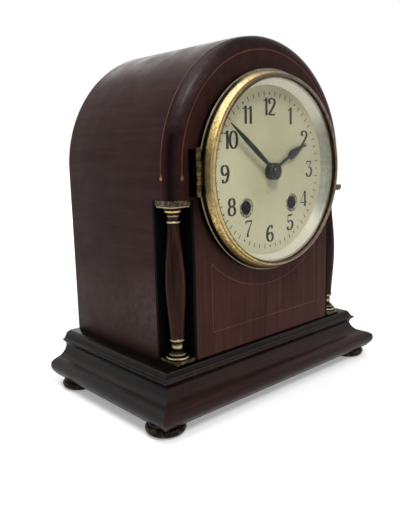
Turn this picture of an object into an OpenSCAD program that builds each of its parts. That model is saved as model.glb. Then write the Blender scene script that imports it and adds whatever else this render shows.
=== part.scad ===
// Arched mahogany mantel clock with corner columns and a two-train striking movement.
// Millimetres. X runs to the right seen from the front, Y runs from front to back, Z is up.
// The origin lies on the floor, under the middle of the plinth.

/* [Case] */
// Width across the case sides
case_w = 180; // [170:1:200]
// Depth of the case from its front face to its back edge
case_d = 121; // [115:1:150]
// Height of the straight sides, from the plinth to the spring of the arch
side_h = 125; // [118:1:150]
// Thickness of the bent case wall
wall_t = 8.5; // [8:0.5:11]
// Radius of the rounded front edge of the case
edge_r = 8.3; // [5:0.1:10]
// Thickness of the front panel
front_t = 8; // [6:0.5:9]
// Thickness of the back panel and of its door
back_t = 6; // [4:0.5:8]
// How far the back panel sits inside the back edge of the case
back_inset = 7; // [6.5:0.5:10]
// Clearance between fitted wooden pieces
wood_gap = 0.1; // [0.05:0.05:0.3]

/* [Columns] */
// Width of the corner niche, measured along the front
niche_w = 19; // [18:0.5:22]
// Depth of the corner niche, measured from the front face
niche_d = 18.5; // [18:0.5:22]
// Thickness of the niche lining
lining_t = 2; // [1:0.5:3]
// Side of the square base and capital plates
column_plate = 17; // [15:0.5:17]
// Thickness of the square base plate
base_plate_t = 2.6; // [2:0.1:4]
// Thickness of the square capital plate
capital_plate_t = 4.7; // [3:0.1:6]
// Height of the turned part of the base
base_turning_h = 12; // [10:0.5:15]
// Height of the turned part of the capital
capital_turning_h = 10.3; // [8:0.1:13]
// Shaft radius at its foot
shaft_foot_r = 4.72; // [4:0.01:5.2]
// Shaft radius at its head
shaft_head_r = 4.05; // [3.5:0.01:5]
// Swell of the shaft at mid height, added to the radius
shaft_swell = 2.4; // [0:0.1:3]
// Clearance of a column plate from the niche lining
column_gap = 0.3; // [0.1:0.1:0.6]
// Gap between the head of a column and the hinge of the bezel above it
hinge_clear = 1.5; // [0.5:0.1:6]

/* [Plinth] */
// Height of the plinth between the feet and the case
plinth_h = 32; // [28:0.5:40]
// Thickness of the top board of the plinth
board_t = 11; // [9:0.5:14]
// Overhang of the plinth at each side of the case
plinth_side = 25.5; // [22:0.5:32]
// Overhang of the plinth in front of the case
plinth_front = 18; // [17.5:0.5:24]
// Overhang of the plinth behind the case
plinth_back = 2; // [0.5:0.5:6]
// Set-back of the top board's nose from the plinth's nose
nose_step = 11.7; // [10:0.1:13]
// Width of the wooden mouldings under the top board
moulding_w = 36; // [32:0.5:40]
// Thickness of the rail that closes the plinth at the back
back_rail_t = 12; // [8:0.5:18]
// Foot diameter
foot_d = 27; // [20:0.5:30]
// Foot height
foot_h = 8; // [6:0.5:12]
// Distance of a foot's axis from the side nose of the plinth
foot_inset_x = 14.3; // [13.8:0.1:18]
// Distance of a front foot's axis from the front nose of the plinth
foot_inset_front = 16.6; // [13.8:0.1:20]
// Distance of a back foot's axis from the back of the plinth
foot_inset_back = 19; // [14:0.5:30]
// Shank radius of a foot screw
foot_screw_r = 2; // [1.5:0.1:2.5]

/* [Inlay] */
// Width of an inlaid line
line_w = 0.8; // [0.5:0.1:1.2]
// Depth of an inlaid line
line_depth = 0.8; // [0.5:0.1:1.2]
// Clearance of an inlaid line in its groove
line_gap = 0.03; // [0.02:0.01:0.06]
// Radius of the dot that ends an arched line
dot_r = 1.3; // [1:0.1:1.6]
// Half width of the outline on the lower panel
panel_line_x = 56.5; // [45:0.5:62]
// Height of the bottom of that outline above the plinth
panel_line_z = 15.3; // [8:0.1:25]
// Gap between the bezel and the curve of that outline round it
panel_line_gap = 11; // [8:0.5:14]
// Height of the dots below the spring of the arch
dot_drop = 4; // [2:0.5:8]

/* [Dial] */
// How far the dial centre lies below the spring of the arch
dial_drop = 3; // [0:0.5:6]
// Thickness of the dial plate
dial_t = 1; // [0.6:0.1:1.2]
// Clearance of the dial plate in the dial pan
dial_gap = 0.4; // [0.2:0.1:0.8]
// Wall of the dial pan
pan_t = 0.8; // [0.6:0.1:1]
// Length of the pan's tube behind the front face of the case
pan_depth = 6; // [4:0.5:8]
// How far the flange of the dial pan lies inside the edge of the bezel
flange_inset = 1; // [0.5:0.1:3]
// Half spacing of the winding holes
wind_x = 24.3; // [23:0.1:26]
// Distance of the winding holes below the dial centre
wind_drop = 24; // [22:0.1:26]
// Radius of a winding hole, inside its eyelet
wind_hole_r = 4.2; // [3.8:0.1:5.6]
// Wall of the tube of an eyelet
eyelet_wall = 1.9; // [0.5:0.1:2]
// Width of the lip of an eyelet outside its tube
eyelet_lip = 0.7; // [0.4:0.1:1.2]

/* [Bezel] */
// Width of the bare front at each side of the bezel
dial_border = 20; // [18:0.5:25]
// Width of the brass ring of the bezel
bezel_w = 6.2; // [5.8:0.1:7]
// How much wider the opening of the bezel is than the dial plate
sight_slope = 3; // [2.6:0.1:3.4]
// Height of the outer rim of the bezel in front of the case
bezel_rim_h = 6.9; // [4:0.1:7]
// Height of the crest of the bezel in front of the case
bezel_h = 12.4; // [11.8:0.1:13.5]
// Thickness of the glass
glass_t = 2; // [1.5:0.1:2.2]
// Rise of the domed glass over its edge
glass_rise = 5; // [3:0.1:5.2]
// How far the sight ring laps over the dial plate
sight_lap = 1.4; // [1:0.1:2.4]
// Radius of the hinge barrel
hinge_r = 1.8; // [1.5:0.1:1.9]
// Radius of the hinge pin
hinge_pin_r = 0.9; // [0.7:0.1:1]
// Length of the hinge barrel
hinge_l = 30; // [24:0.5:34]
// Length of the middle knuckle of the hinge
hinge_knuckle_l = 15.6; // [12:0.2:18]
// Height of the middle of the hinge above the dial centre
hinge_lift = 2; // [0:0.5:4]
// Clearance of running and turning pieces
run_gap = 0.06; // [0.03:0.01:0.1]

/* [Hands] */
// Distance of the minute hand's tip inside the edge of the dial plate
minute_short = 6.8; // [5.8:0.1:12]
// How much shorter the hour hand is than the minute hand
hour_short = 12; // [8:0.5:18]
// Thickness of a hand
hand_t = 0.6; // [0.4:0.1:0.8]
// Minute shown, as an angle clockwise from the top
minute_angle = 307.5; // [0:0.5:360]
// Hour shown, as an angle clockwise from the top
hour_angle = 63.5; // [0:0.5:360]
// Radius of the boss of a hand
hand_boss_r = 6; // [5:0.1:6.5]

/* [Movement plates] */
// Distance of the front plate behind the front face of the case
plate_stand = 14; // [13.5:0.5:16]
// Thickness of a plate
plate_t = 2; // [1.5:0.1:2.5]
// Gap between the plates
plate_gap = 30; // [29.5:0.5:34]
// Height of the plates above the suspension cock
plate_head = 1; // [0.5:0.5:3]
// Clearance between the plates and the arch of the case
plate_clear = 3; // [2:0.5:6]
// Radius of a plate pillar
pillar_r = 3; // [2:0.1:3.2]
// Clearance between a great wheel and the pillar beside it
pillar_clear = 2.5; // [2:0.1:4]
// Distance of a pillar's axis from the edge of the back plate
pillar_rim = 6; // [5:0.5:8]
// Distance of the fixing screws of the movement outside the dial pan
mount_out = 7.5; // [6.5:0.5:9]
// Radius of a pivot
pivot_r = 0.6; // [0.4:0.05:0.7]
// Radius of an arbor
arbor_r = 1; // [0.8:0.05:1]
// Clearance between the centre wheel and the arbors beside it
arbor_clear = 0.6; // [0.4:0.05:0.7]

/* [Wheels] */
// Teeth of a great wheel
great_n = 80; // [78:1:82]
// Module of the intermediate wheels
inter_m = 0.5; // [0.48:0.01:0.5]
// Teeth of an intermediate wheel
inter_n = 70; // [68:1:70]
// Leaves of the intermediate and centre pinions
slow_leaves = 10; // [9:1:11]
// Teeth of the centre wheel
centre_n = 96; // [92:1:98]
// Teeth of the third wheel
third_n = 84; // [80:1:84]
// Leaves of the third, escape and fly pinions
fast_leaves = 8; // [8:1:9]
// Teeth of the escape wheel
escape_n = 40; // [30:1:42]
// Tip radius of the escape wheel
escape_r = 13; // [11:0.1:13.2]
// Module of the pin wheel
pin_m = 0.45; // [0.42:0.01:0.45]
// Teeth of the pin wheel
pin_n = 60; // [56:1:60]
// Teeth of the warning wheel
warning_n = 56; // [50:1:56]
// Thickness of a wheel
wheel_t = 1.4; // [1:0.1:1.5]
// Module of the motion work
motion_m = 0.5; // [0.46:0.01:0.5]
// Leaves of the cannon pinion
cannon_leaves = 12; // [12:1:14]
// Teeth of the minute wheel
minute_n = 36; // [34:1:38]
// Leaves of the minute pinion
minute_leaves = 10; // [9:1:12]
// Teeth of the hour wheel
hour_n = 40; // [38:1:42]

/* [Barrels] */
// Gap between the two great wheels
barrel_gap = 3.56; // [3:0.02:5]
// How far a barrel drum lies inside the pitch circle of its great wheel
drum_step = 1.7; // [1.5:0.1:4]
// Wall of a barrel drum
drum_wall = 1.1; // [0.8:0.1:1.5]
// Length of a barrel drum
drum_l = 13; // [11:0.5:13.5]
// Radius of a barrel arbor
barrel_arbor_r = 3; // [2.6:0.1:3.4]
// Thickness of a mainspring
spring_t = 0.5; // [0.4:0.05:0.6]
// Turns of a mainspring
spring_turns = 7; // [5:1:8]
// Side of the winding square
square_w = 4; // [3.4:0.1:4.2]
// Tip radius of a ratchet wheel
ratchet_r = 8; // [7:0.1:8.5]
// Teeth of a ratchet wheel
ratchet_n = 24; // [18:1:28]

/* [Pendulum and gong] */
// Height of the escape wheel above the dial centre
escape_z = 33; // [32:0.1:34]
// Height of the pallet arbor above the escape wheel
pallet_rise = 15.5; // [15:0.1:16.5]
// Length of the pendulum from its flexing point to the middle of the bob
pendulum_l = 126.8; // [115:0.1:132]
// Distance of the pendulum behind the back plate
pendulum_back = 8; // [7:0.5:10]
// Radius of the pendulum rod
rod_r = 1.2; // [1:0.1:1.4]
// Radius of the bob
bob_r = 17; // [14:0.5:20]
// Thickness of the bob
bob_t = 9; // [7:0.5:10]
// Swing of the pendulum to each side, in degrees
swing = 4; // [2:0.5:4]
// Radius of the outer turn of the gong
gong_r = 38; // [32:0.5:39]
// Turns of the gong
gong_turns = 3; // [2:1:4]
// Width of the gong's flat wire
gong_wire = 2.2; // [1.6:0.1:2.6]
// Distance of the gong behind the back plate
gong_back = 30; // [26:0.5:32]
// Distance of the gong's centre below the dial centre
gong_drop = 30; // [26:0.5:32]
// Length of the hammer's arm
hammer_l = 42; // [38:0.5:44]

/* [Back door] */
// Width of the back panel at each side of the door opening
door_border = 29.5; // [24:0.5:36]
// Height of the sill of the door opening above the plinth
door_sill = 22; // [12:0.5:30]
// Clearance round the door
door_gap = 0.6; // [0.4:0.1:1.2]
// Radius of a sound hole in the door
sound_hole_r = 3.5; // [2:0.1:4.2]
// Radius of the door's hinge barrels
door_hinge_r = 1.8; // [1.5:0.1:2.2]
// Length of a door hinge
door_hinge_l = 24; // [18:0.5:30]
// Radius of the door knob
knob_r = 4; // [3:0.5:5]

/* [Hidden] */
$fn = 64;
half_w = case_w / 2;
inner_r = half_w - wall_t;
total_w = case_w + 2 * plinth_side;
total_d = case_d + plinth_front + plinth_back;
y_front = plinth_front - total_d / 2;
y_back = y_front + case_d;
plinth_z = foot_h + plinth_h;
spring_z = plinth_z + side_h;
dial_z = spring_z - dial_drop;
hinge_z = dial_z + hinge_lift;
niche_z = hinge_z - hinge_l / 2 - hinge_clear;
column_h = niche_z - plinth_z;
niche_x = half_w - niche_w;
column_x = niche_x + lining_t + column_gap + column_plate / 2;
column_y = y_front + niche_d - lining_t - column_gap - column_plate / 2;
back_panel_y = y_back - back_inset - back_t;
door_x = inner_r - door_border;

// Plinth: the mouldings are measured outwards from a rectangle round the case.
plinth_x = half_w + plinth_side - plinth_front;
rail_z = plinth_z - board_t;

// Dial and bezel: each ring takes its radius from the one outside it.
bezel_r = half_w - dial_border;
bezel_sight_r = bezel_r - bezel_w;
dial_r = bezel_sight_r - sight_slope;
pan_r = dial_r + dial_gap + pan_t;
flange_r = bezel_r - flange_inset;
sight_r = dial_r - sight_lap;
panel_line_r = bezel_r + panel_line_gap;
eyelet_tube_r = wind_hole_r + eyelet_wall;
eyelet_r = eyelet_tube_r + eyelet_lip;
minute_len = dial_r - minute_short;
hour_len = minute_len - hour_short;

// Movement: depths are measured back from the front face, heights from the dial centre.
plate_y = y_front + plate_stand;
train_y = plate_y + plate_t;
rear_plate_y = train_y + plate_gap;
rear_y = rear_plate_y + plate_t;
pendulum_y = rear_y + pendulum_back;
gong_y = rear_y + gong_back;
hour_m = motion_m * (cannon_leaves + minute_n) / (minute_leaves + hour_n);

// Depths of the wheels behind the front plate
centre_t = 1;
inter_t = 3.6;
strike_inter_t = 6.2;
drum_t = 9;
third_t = 12;
pin_t = 15;
warning_t = 18;
escape_t = 24;
cap_t = 1;
great_t = drum_t + drum_l;

// Arbor places in the plane of the dial, as x and height from the dial centre
function heading(from, to) = atan2(to[1] - from[1], to[0] - from[0]);
function step(from, r, angle) = from + r * [cos(angle), sin(angle)];
function apart(a, b) = norm(b - a);
function corner(a, b, c) = acos((a * a + c * c - b * b) / (2 * a * c));
function meet(a, ra, b, rb, turn) = step(a, ra, heading(a, b) + turn * corner(ra, rb, apart(a, b)));
function pitch_r(n, m) = n * m / 2;
function mesh(n1, n2, m) = pitch_r(n1 + n2, m);

// A wheel tooth stands this many modules over its pitch circle. The great wheels fill the room
// between the winding squares, and the centre wheel the room between the intermediate arbors.
tooth_tip = 0.95;
great_tip_r = wind_x - barrel_gap / 2;
great_m = great_tip_r / (great_n / 2 + tooth_tip);
inter_apart = mesh(inter_n, slow_leaves, inter_m);
fast_m = (inter_apart - arbor_r - arbor_clear) / (centre_n / 2 + tooth_tip);

centre = [0, 0];
time_at = [wind_x, -wind_drop];
strike_at = [-wind_x, -wind_drop];
inter_at = meet(centre, inter_apart, time_at, mesh(great_n, slow_leaves, great_m), 1);
strike_inter_at = [-inter_at[0], inter_at[1]];
escape_at = [0, escape_z];
pallet_at = [0, escape_z + pallet_rise];
third_at = meet(centre, mesh(centre_n, fast_leaves, fast_m),
                escape_at, mesh(third_n, fast_leaves, fast_m), -1);
pin_at = step(strike_inter_at, inter_apart, 100);
warning_at = step(pin_at, mesh(pin_n, fast_leaves, pin_m), 60);
fly_at = step(warning_at, mesh(warning_n, fast_leaves, fast_m), 120);
minute_at = [0, mesh(cannon_leaves, minute_n, motion_m)];
gong_at = [0, -gong_drop];
hammer_gap = 1;
hammer_head_l = 8;
hammer_at = [-(gong_r + gong_wire / 2 + hammer_gap + hammer_head_l / 2), hammer_l - gong_drop];

// Plates: the lower pillars stand beside the great wheels and the upper ones under the arch.
spring_half = 4.5;
cock_t = 4;
mount_margin = 5;
mount_in = 5;
mount_shank_r = 1.5;
dial_foot_in = 12.8;
dial_foot_r = 1.5;
pillar_low = step(time_at, great_tip_r + pillar_r + pillar_clear, -45);
plate_x = pillar_low[0] + pillar_rim;
plate_low = pillar_rim - pillar_low[1];
plate_top = pallet_at[1] + spring_half + cock_t + plate_head;
pillar_high = [plate_x - 1.5 * pillar_rim, plate_top - pillar_rim - 1];
pillar_at = [for (sx = [-1, 1]) for (p = [pillar_low, pillar_high]) [sx * p[0], p[1]]];
mount_at = [for (a = [30, 150, 210, 330]) step(centre, pan_r + mount_out, a)];
mount_reach = mount_at[0][0] + mount_margin;
dial_foot_at = [for (a = [30, 150, 210, 330]) step(centre, dial_r - dial_foot_in, a)];

// Round stretches and revolved or extruded outlines
function arc(c, r, a0, a1, n) = [for (i = [0:n]) step(c, r, a0 + (a1 - a0) * i / n)];
function bead(r, z0, z1) = arc([r - (z1 - z0) / 2, (z0 + z1) / 2], (z1 - z0) / 2, -90, 90, 8);
function polar(r, a) = [r * cos(a), r * sin(a)];
function mirrored(pts) = [for (i = [len(pts) - 1:-1:0]) [-pts[i][0], pts[i][1]]];
function stretched(pts, k) = [for (p = pts) [p[0], p[1] * k]];

// An outline in the plane of the dial, drawn round the place p and made t thick from depth y
module slab(p, y, t) {
    translate([p[0], y + t, dial_z + p[1]]) rotate([90, 0, 0]) linear_extrude(t) children();
}

// A round bar from front to back at the place p
module rod(p, r, y, l) {
    translate([p[0], y, dial_z + p[1]]) rotate([-90, 0, 0]) cylinder(r = r, h = l);
}

// A turned piece on a front to back axis: the outline holds radius and height before the case front
module turned(p, pts) {
    translate([p[0], y_front, dial_z + p[1]]) rotate([90, 0, 0]) rotate_extrude() polygon(pts);
}

// A block between two corners
module block(a, b) {
    translate(a) cube(b - a);
}

// An arched board: half width and arch radius r, sill at z, made t thick from depth y
module arched(r, z, y, t) {
    translate([0, y + t, 0]) rotate([90, 0, 0]) linear_extrude(t) {
        translate([-r, z]) square([2 * r, spring_z - z]);
        intersection() {
            translate([0, spring_z]) circle(r);
            translate([-r, spring_z]) square([2 * r, r]);
        }
    }
}

// Both sides of the clock
module both_sides() {
    children();
    mirror([1, 0, 0]) children();
}

// Case
edge = min(edge_r, wall_t - 0.2);
wall_pts = concat([[inner_r, 0]], arc([half_w - edge, edge], edge, -90, 0, 12),
                  [[half_w, case_d], [inner_r, case_d]]);
line_y = y_front + edge;
dot_z = spring_z - dot_drop;

// An arched ring with short legs down to z, cut round the case between two radii and two depths
module hoop(r0, r1, y, t, z) {
    translate([0, y + t, spring_z]) rotate([90, 0, 0]) rotate_extrude(angle = 180) translate([r0, 0])
        square([r1 - r0, t]);
    both_sides() block([r0, y, z], [r1, y + t, spring_z]);
}

module side_line(gap) {
    hoop(half_w - line_depth - gap, half_w + gap, line_y - gap, line_w + 2 * gap, dot_z);
    both_sides() translate([half_w - line_depth - gap, line_y + line_w / 2, dot_z]) rotate([0, 90, 0])
        cylinder(r = dot_r + gap, h = line_depth + 2 * gap);
}

module case_shell() {
    color("#4a2416") difference() {
        union() {
            translate([0, y_front, spring_z]) rotate([90, 0, 0]) rotate_extrude(angle = 180)
                polygon([for (p = wall_pts) [p[0], -p[1]]]);
            both_sides() translate([0, y_front, plinth_z]) linear_extrude(side_h) polygon(wall_pts);
        }
        both_sides() block([niche_x, y_front - 1, plinth_z - 1],
                           [half_w + 1, y_front + niche_d, niche_z]);
        side_line(line_gap);
    }
}

panel_r = inner_r - wood_gap;
line_r = panel_r - dot_r - 0.15;

module under_dial(inset) {
    difference() {
        translate([inset - panel_line_x, panel_line_z + plinth_z + inset])
            square([2 * (panel_line_x - inset), dial_z - plinth_z - panel_line_z]);
        translate([0, dial_z]) circle(panel_line_r + inset);
        translate([-case_w, dial_z - 10]) square([2 * case_w, case_w]);
    }
}

module front_line(gap) {
    hoop(line_r - line_w / 2 - gap, line_r + line_w / 2 + gap, y_front - gap, line_depth + 2 * gap, dot_z);
    both_sides() translate([line_r, y_front - gap, dot_z]) rotate([-90, 0, 0])
        cylinder(r = dot_r + gap, h = line_depth + 2 * gap);
    translate([0, y_front + line_depth + gap, 0]) rotate([90, 0, 0]) linear_extrude(line_depth + 2 * gap)
        difference() {
            under_dial(-gap);
            under_dial(line_w + gap);
        }
}

module front_panel() {
    color("#6b2f1b") difference() {
        arched(panel_r, plinth_z, y_front, front_t);
        both_sides() block([niche_x - wood_gap, y_front - 1, plinth_z - 1],
                           [half_w, y_front + front_t + 1, niche_z]);
        rod(centre, pan_r + 0.2, y_front - 1, front_t + 2);
        for (p = mount_at) rod(p, mount_shank_r + run_gap, y_front + front_t - mount_in - 0.2, mount_in + 1);
        front_line(line_gap);
    }
}

module front_stringing() {
    color("#b9783f") front_line(0);
}

module side_stringing() {
    color("#b9783f") side_line(0);
}

module back_panel() {
    color("#5b2f1c") difference() {
        arched(panel_r, plinth_z, back_panel_y, back_t);
        arched(door_x, plinth_z + door_sill, back_panel_y - 1, back_t + 2);
    }
}

module niche_linings() {
    color("#17120f") both_sides() {
        block([niche_x, y_front + niche_d - lining_t, plinth_z], [half_w, y_front + niche_d, niche_z]);
        block([niche_x, y_front, plinth_z], [niche_x + lining_t, y_front + niche_d, niche_z]);
        block([niche_x, y_front + front_t, niche_z],
              [inner_r - wood_gap, y_front + niche_d, niche_z + lining_t]);
    }
}

// Columns
shaft_z = base_plate_t + base_turning_h;
shaft_l = column_h - shaft_z - capital_turning_h - capital_plate_t;
capital_z = shaft_z + shaft_l;
function swell(t) = shaft_swell * pow(max(0, sin(180 * t)), 1.5);
shaft_pts = [for (i = [0:24]) let (t = i / 24)
    [shaft_foot_r + (shaft_head_r - shaft_foot_r) * t + swell(t), shaft_l * t]];
base_pts = concat([[0, 0]], bead(7.8, 0, 1.8), bead(6, 1.8, 3.6), [[4.6, 3.7], [4.2, 4.6]],
                  arc([0, 7.2], 3.9, -38, 38, 8), [[4.2, 9.8]], bead(5.1, 10, 12), [[0, 12]]);
capital_pts = concat([[0, 0]], bead(4.8, 0, 2), [[4, 2.4], [4, 4.3]], bead(4.4, 4.3, 5.6), [[4.2, 6.2]],
                     bead(5.75, 6.8, 9), [[6.6, 9.1], [7.4, 10.3], [0, 10.3]]);

module column_plate_at(z, t) {
    translate([-column_plate / 2, -column_plate / 2, z]) cube([column_plate, column_plate, t]);
}

module on_columns() {
    both_sides() translate([column_x, column_y, plinth_z]) children();
}

module column_shafts() {
    color("#7a3a24") on_columns() translate([0, 0, shaft_z]) rotate_extrude()
        polygon(concat([[0, 0]], shaft_pts, [[0, shaft_l]]));
}

module column_bases() {
    color("#b8943f") on_columns() {
        column_plate_at(0, base_plate_t);
        translate([0, 0, base_plate_t]) rotate_extrude() polygon(stretched(base_pts, base_turning_h / 12));
    }
}

module column_capitals() {
    color("#b8943f") on_columns() {
        translate([0, 0, capital_z]) rotate_extrude()
            polygon(stretched(capital_pts, capital_turning_h / 10.3));
        column_plate_at(column_h - capital_plate_t, capital_plate_t);
    }
}

// Plinth
nose = plinth_front - nose_step;
rail_h = rail_z - foot_h;
board_k = board_t / 11;
rail_k = rail_h / 21;
board_pts = stretched([[nose - 2.8, 0], [nose - 2.4, 1.6], [nose - 1.3, 3.1], [nose - 0.2, 4], [nose, 4.6],
                       [nose - 0.3, 5.2], [nose - 1.6, 5.6], [nose - 2.1, 6.9], [nose - 3.1, 8.4],
                       [nose - 4.4, 9.6], [nose - 6, 10.5], [nose - 7.2, 11]], board_k);
cove_end = asin(2 / 10.4) - 180;
rail_pts = stretched(concat([[plinth_front - 3.7, 0]], arc([plinth_front - 7.2, 7.2], 7.2, -48, 24, 6),
                            [[plinth_front - 2.4, 11.4]],
                            arc([plinth_front - 4.2, 23], 10.4, -98, cove_end, 10)), rail_k);

// A slab whose front and side edges carry a moulding, mitred at the corners
module moulded(pts, z, h) {
    intersection() {
        translate([-total_w, 0, z]) rotate([90, 0, 90]) linear_extrude(2 * total_w)
            polygon(concat([for (p = pts) [y_front - p[0], p[1]]], [[total_d / 2, h], [total_d / 2, 0]]));
        translate([0, total_d, z]) rotate([90, 0, 0]) linear_extrude(2 * total_d)
            polygon(concat([for (p = pts) [plinth_x + p[0], p[1]]],
                           mirrored([for (p = pts) [plinth_x + p[0], p[1]]])));
    }
}

module on_feet() {
    both_sides() for (y = [foot_inset_front - total_d / 2, total_d / 2 - foot_inset_back])
        translate([total_w / 2 - foot_inset_x, y, 0]) children();
}

module foot_screw_holes() {
    on_feet() translate([0, 0, foot_h - 1]) cylinder(r = foot_screw_r + run_gap, h = foot_screw_in + 1.2);
}

module plinth_board() {
    color("#24130d") moulded(board_pts, rail_z, board_t);
}

module plinth_front_moulding() {
    m = moulding_w;
    w = total_w / 2;
    d = total_d / 2;
    color("#2a1710") difference() {
        intersection() {
            moulded(rail_pts, foot_h, rail_h);
            translate([0, 0, foot_h - 1]) linear_extrude(rail_h + 2)
                polygon([[-w, -d], [w, -d], [w - m, m - d], [m - w, m - d]]);
        }
        foot_screw_holes();
    }
}

module plinth_side_mouldings() {
    m = moulding_w;
    w = total_w / 2;
    d = total_d / 2;
    color("#2a1710") both_sides() difference() {
        intersection() {
            moulded(rail_pts, foot_h, rail_h);
            translate([0, 0, foot_h - 1]) linear_extrude(rail_h + 2)
                polygon([[w, -d], [w, d], [w - m, d], [w - m, m - d]]);
        }
        foot_screw_holes();
    }
}

module plinth_back_rail() {
    w = total_w / 2 - moulding_w;
    color("#3a2116") block([-w, total_d / 2 - back_rail_t, foot_h], [w, total_d / 2, rail_z]);
}

// Feet
foot_r = foot_d / 2;
foot_screw_in = 12;
foot_head_r = foot_screw_r * 2;
foot_seat = foot_h * 0.45;

module bun_feet() {
    r = foot_r;
    h = foot_h;
    color("#6a5326") on_feet() rotate_extrude() polygon([
        [foot_head_r + 0.5, 0], [0.62 * r, 0], [0.8 * r, 0.07 * h], [0.92 * r, 0.2 * h],
        [0.985 * r, 0.36 * h], [r, 0.5 * h], [0.97 * r, 0.66 * h], [0.9 * r, 0.78 * h],
        [0.8 * r, 0.86 * h], [0.84 * r, 0.88 * h],
        [0.84 * r, h], [foot_screw_r + run_gap, h], [foot_screw_r + run_gap, foot_seat],
        [foot_head_r + 0.5, foot_seat]]);
}

module foot_screws() {
    color("#5a5650") on_feet() {
        translate([0, 0, foot_seat - 2]) cylinder(r = foot_head_r, h = 2);
        translate([0, 0, foot_seat - 1])
            cylinder(r = foot_screw_r, h = foot_h - foot_seat + 1 + foot_screw_in);
    }
}

// Back door
door_axis_x = door_x - door_gap / 2;
door_face_y = back_panel_y + back_t;
door_axis_y = door_face_y + door_hinge_r + 0.2;
door_hinge_z = [plinth_z + door_sill + 22, spring_z - 20];
door_pin_r = door_hinge_r * 0.45;
leaf_w = 12;
leaf_t = 1;

module door_knuckle(z, l, r) {
    translate([door_axis_x, door_axis_y, z]) cylinder(r = r, h = l);
}

module back_door() {
    mid = spring_z - 12;
    color("#5b2f1c") difference() {
        arched(door_x - door_gap, plinth_z + door_sill + door_gap, back_panel_y, back_t);
        for (ring = [0:2]) for (i = [0:max(0, 6 * ring - 1)])
            translate([14 * ring * cos(360 * i / max(1, 6 * ring)), back_panel_y - 1,
                       mid + 14 * ring * sin(360 * i / max(1, 6 * ring))])
                rotate([-90, 0, 0]) cylinder(r = sound_hole_r, h = back_t + 2);
    }
}

module door_knob() {
    color("#a98438") translate([10 - door_x, door_face_y, spring_z - 40]) rotate([-90, 0, 0]) rotate_extrude()
        polygon([[0, 0], [0.8 * knob_r, 0], [0.8 * knob_r, 0.8], [0.45 * knob_r, 1.4], [0.45 * knob_r, 2.2],
                 [0.85 * knob_r, 3], [knob_r, 4], [0.85 * knob_r, 5], [0.5 * knob_r, 5.7], [0, 5.9]]);
}

module door_hinge_fixed() {
    third = door_hinge_l / 3;
    x = door_axis_x;
    color("#a98438") for (z = door_hinge_z) {
        block([x + door_hinge_r + 0.4, door_face_y, z - door_hinge_l / 2],
              [x + leaf_w, door_face_y + leaf_t, z + door_hinge_l / 2]);
        for (z0 = [z - door_hinge_l / 2, z + door_hinge_l / 2 - third]) {
            door_knuckle(z0, third, door_hinge_r);
            block([x, door_face_y + 0.1, z0], [x + door_hinge_r + 1, door_face_y + leaf_t, z0 + third]);
        }
        door_knuckle(z - door_hinge_l / 2, door_hinge_l, door_pin_r);
    }
}

module door_hinge_moving() {
    third = door_hinge_l / 3;
    x = door_axis_x;
    color("#a98438") for (z = door_hinge_z) {
        block([x - leaf_w, door_face_y, z - door_hinge_l / 2],
              [x - door_hinge_r - 0.4, door_face_y + leaf_t, z + door_hinge_l / 2]);
        difference() {
            union() {
                door_knuckle(z - third / 2 + 0.2, third - 0.4, door_hinge_r);
                block([x - door_hinge_r - 1, door_face_y + 0.1, z - third / 2 + 0.2],
                      [x, door_face_y + leaf_t, z + third / 2 - 0.2]);
            }
            door_knuckle(z - third, 2 * third, door_pin_r + run_gap);
        }
    }
}

// Dial: heights are measured forward from the front face of the case
dial_h = pan_t + dial_t - 0.1;
eyelet_t = 0.5;
pipe_hole_r = 4.2;

module dial_holes(y, l) {
    rod(centre, pipe_hole_r, y, l);
    for (p = [time_at, strike_at]) rod(p, eyelet_tube_r + run_gap, y, l);
}

module dial_plate() {
    color("#e9e3c8") difference() {
        rod(centre, dial_r, y_front - dial_h, dial_t);
        dial_holes(y_front - dial_h - 1, dial_t + 2);
    }
}

module dial_pan() {
    color("#b8943f") {
        turned(centre, [[pan_r - pan_t, pan_t], [flange_r, pan_t], [flange_r, 0], [pan_r, 0],
                        [pan_r, -pan_depth], [pan_r - pan_t, -pan_depth]]);
        difference() {
            rod(centre, pan_r - 0.5 * pan_t, y_front + dial_t - dial_h, 1.2);
            dial_holes(y_front - 2, 4);
        }
        for (p = dial_foot_at)
            rod(p, dial_foot_r, y_front + dial_t - dial_h + 0.5, plate_stand + dial_h - dial_t - 0.5);
    }
}

module winding_eyelets() {
    back = dial_t - dial_h + 1.2;
    color("#cfc9b4") for (p = [time_at, strike_at])
        turned(p, [[wind_hole_r, -back], [eyelet_tube_r, -back], [eyelet_tube_r, dial_h], [eyelet_r, dial_h],
                   [eyelet_r - 0.2, dial_h + 0.6 * eyelet_t], [eyelet_tube_r, dial_h + eyelet_t],
                   [wind_hole_r, dial_h - eyelet_t]]);
}

// Bezel
bezel_back = pan_t + 0.2;
bead_r = (bezel_r - 2 - bezel_sight_r) / 2;
glass_edge_h = bezel_h - 3;
glass_r = bezel_sight_r + 1;
glass_top = glass_edge_h - 0.05;
dome_r = bezel_sight_r - 0.2;
glass_ball = (pow(dome_r, 2) + pow(glass_rise, 2)) / (2 * glass_rise);
glass_angle = asin(dome_r / glass_ball);
sight_top = glass_edge_h - glass_t - 0.2;
hinge_x = -(bezel_r + hinge_r + 0.4);
hinge_h = bezel_rim_h;
hinge_leaf_w = 6;
catch_angle = -13;

function bezel_outline() = concat(
    [[bezel_r - 3.5, bezel_back], [bezel_r, bezel_back], [bezel_r, bezel_rim_h]],
    arc([bezel_r + 1.4, bezel_h - 2.6], 3.2, 234, 180, 6),
    arc([bezel_sight_r + bead_r, bezel_h - bead_r], bead_r, 0, 180, 12),
    [[bezel_sight_r, glass_edge_h], [glass_r + 0.2, glass_edge_h], [glass_r + 0.2, sight_top - 1],
     [bezel_r - 3.5, sight_top - 2]]);

module hinge_knuckle(z, l, r) {
    translate([hinge_x, y_front - hinge_h, z]) cylinder(r = r, h = l);
}

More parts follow.
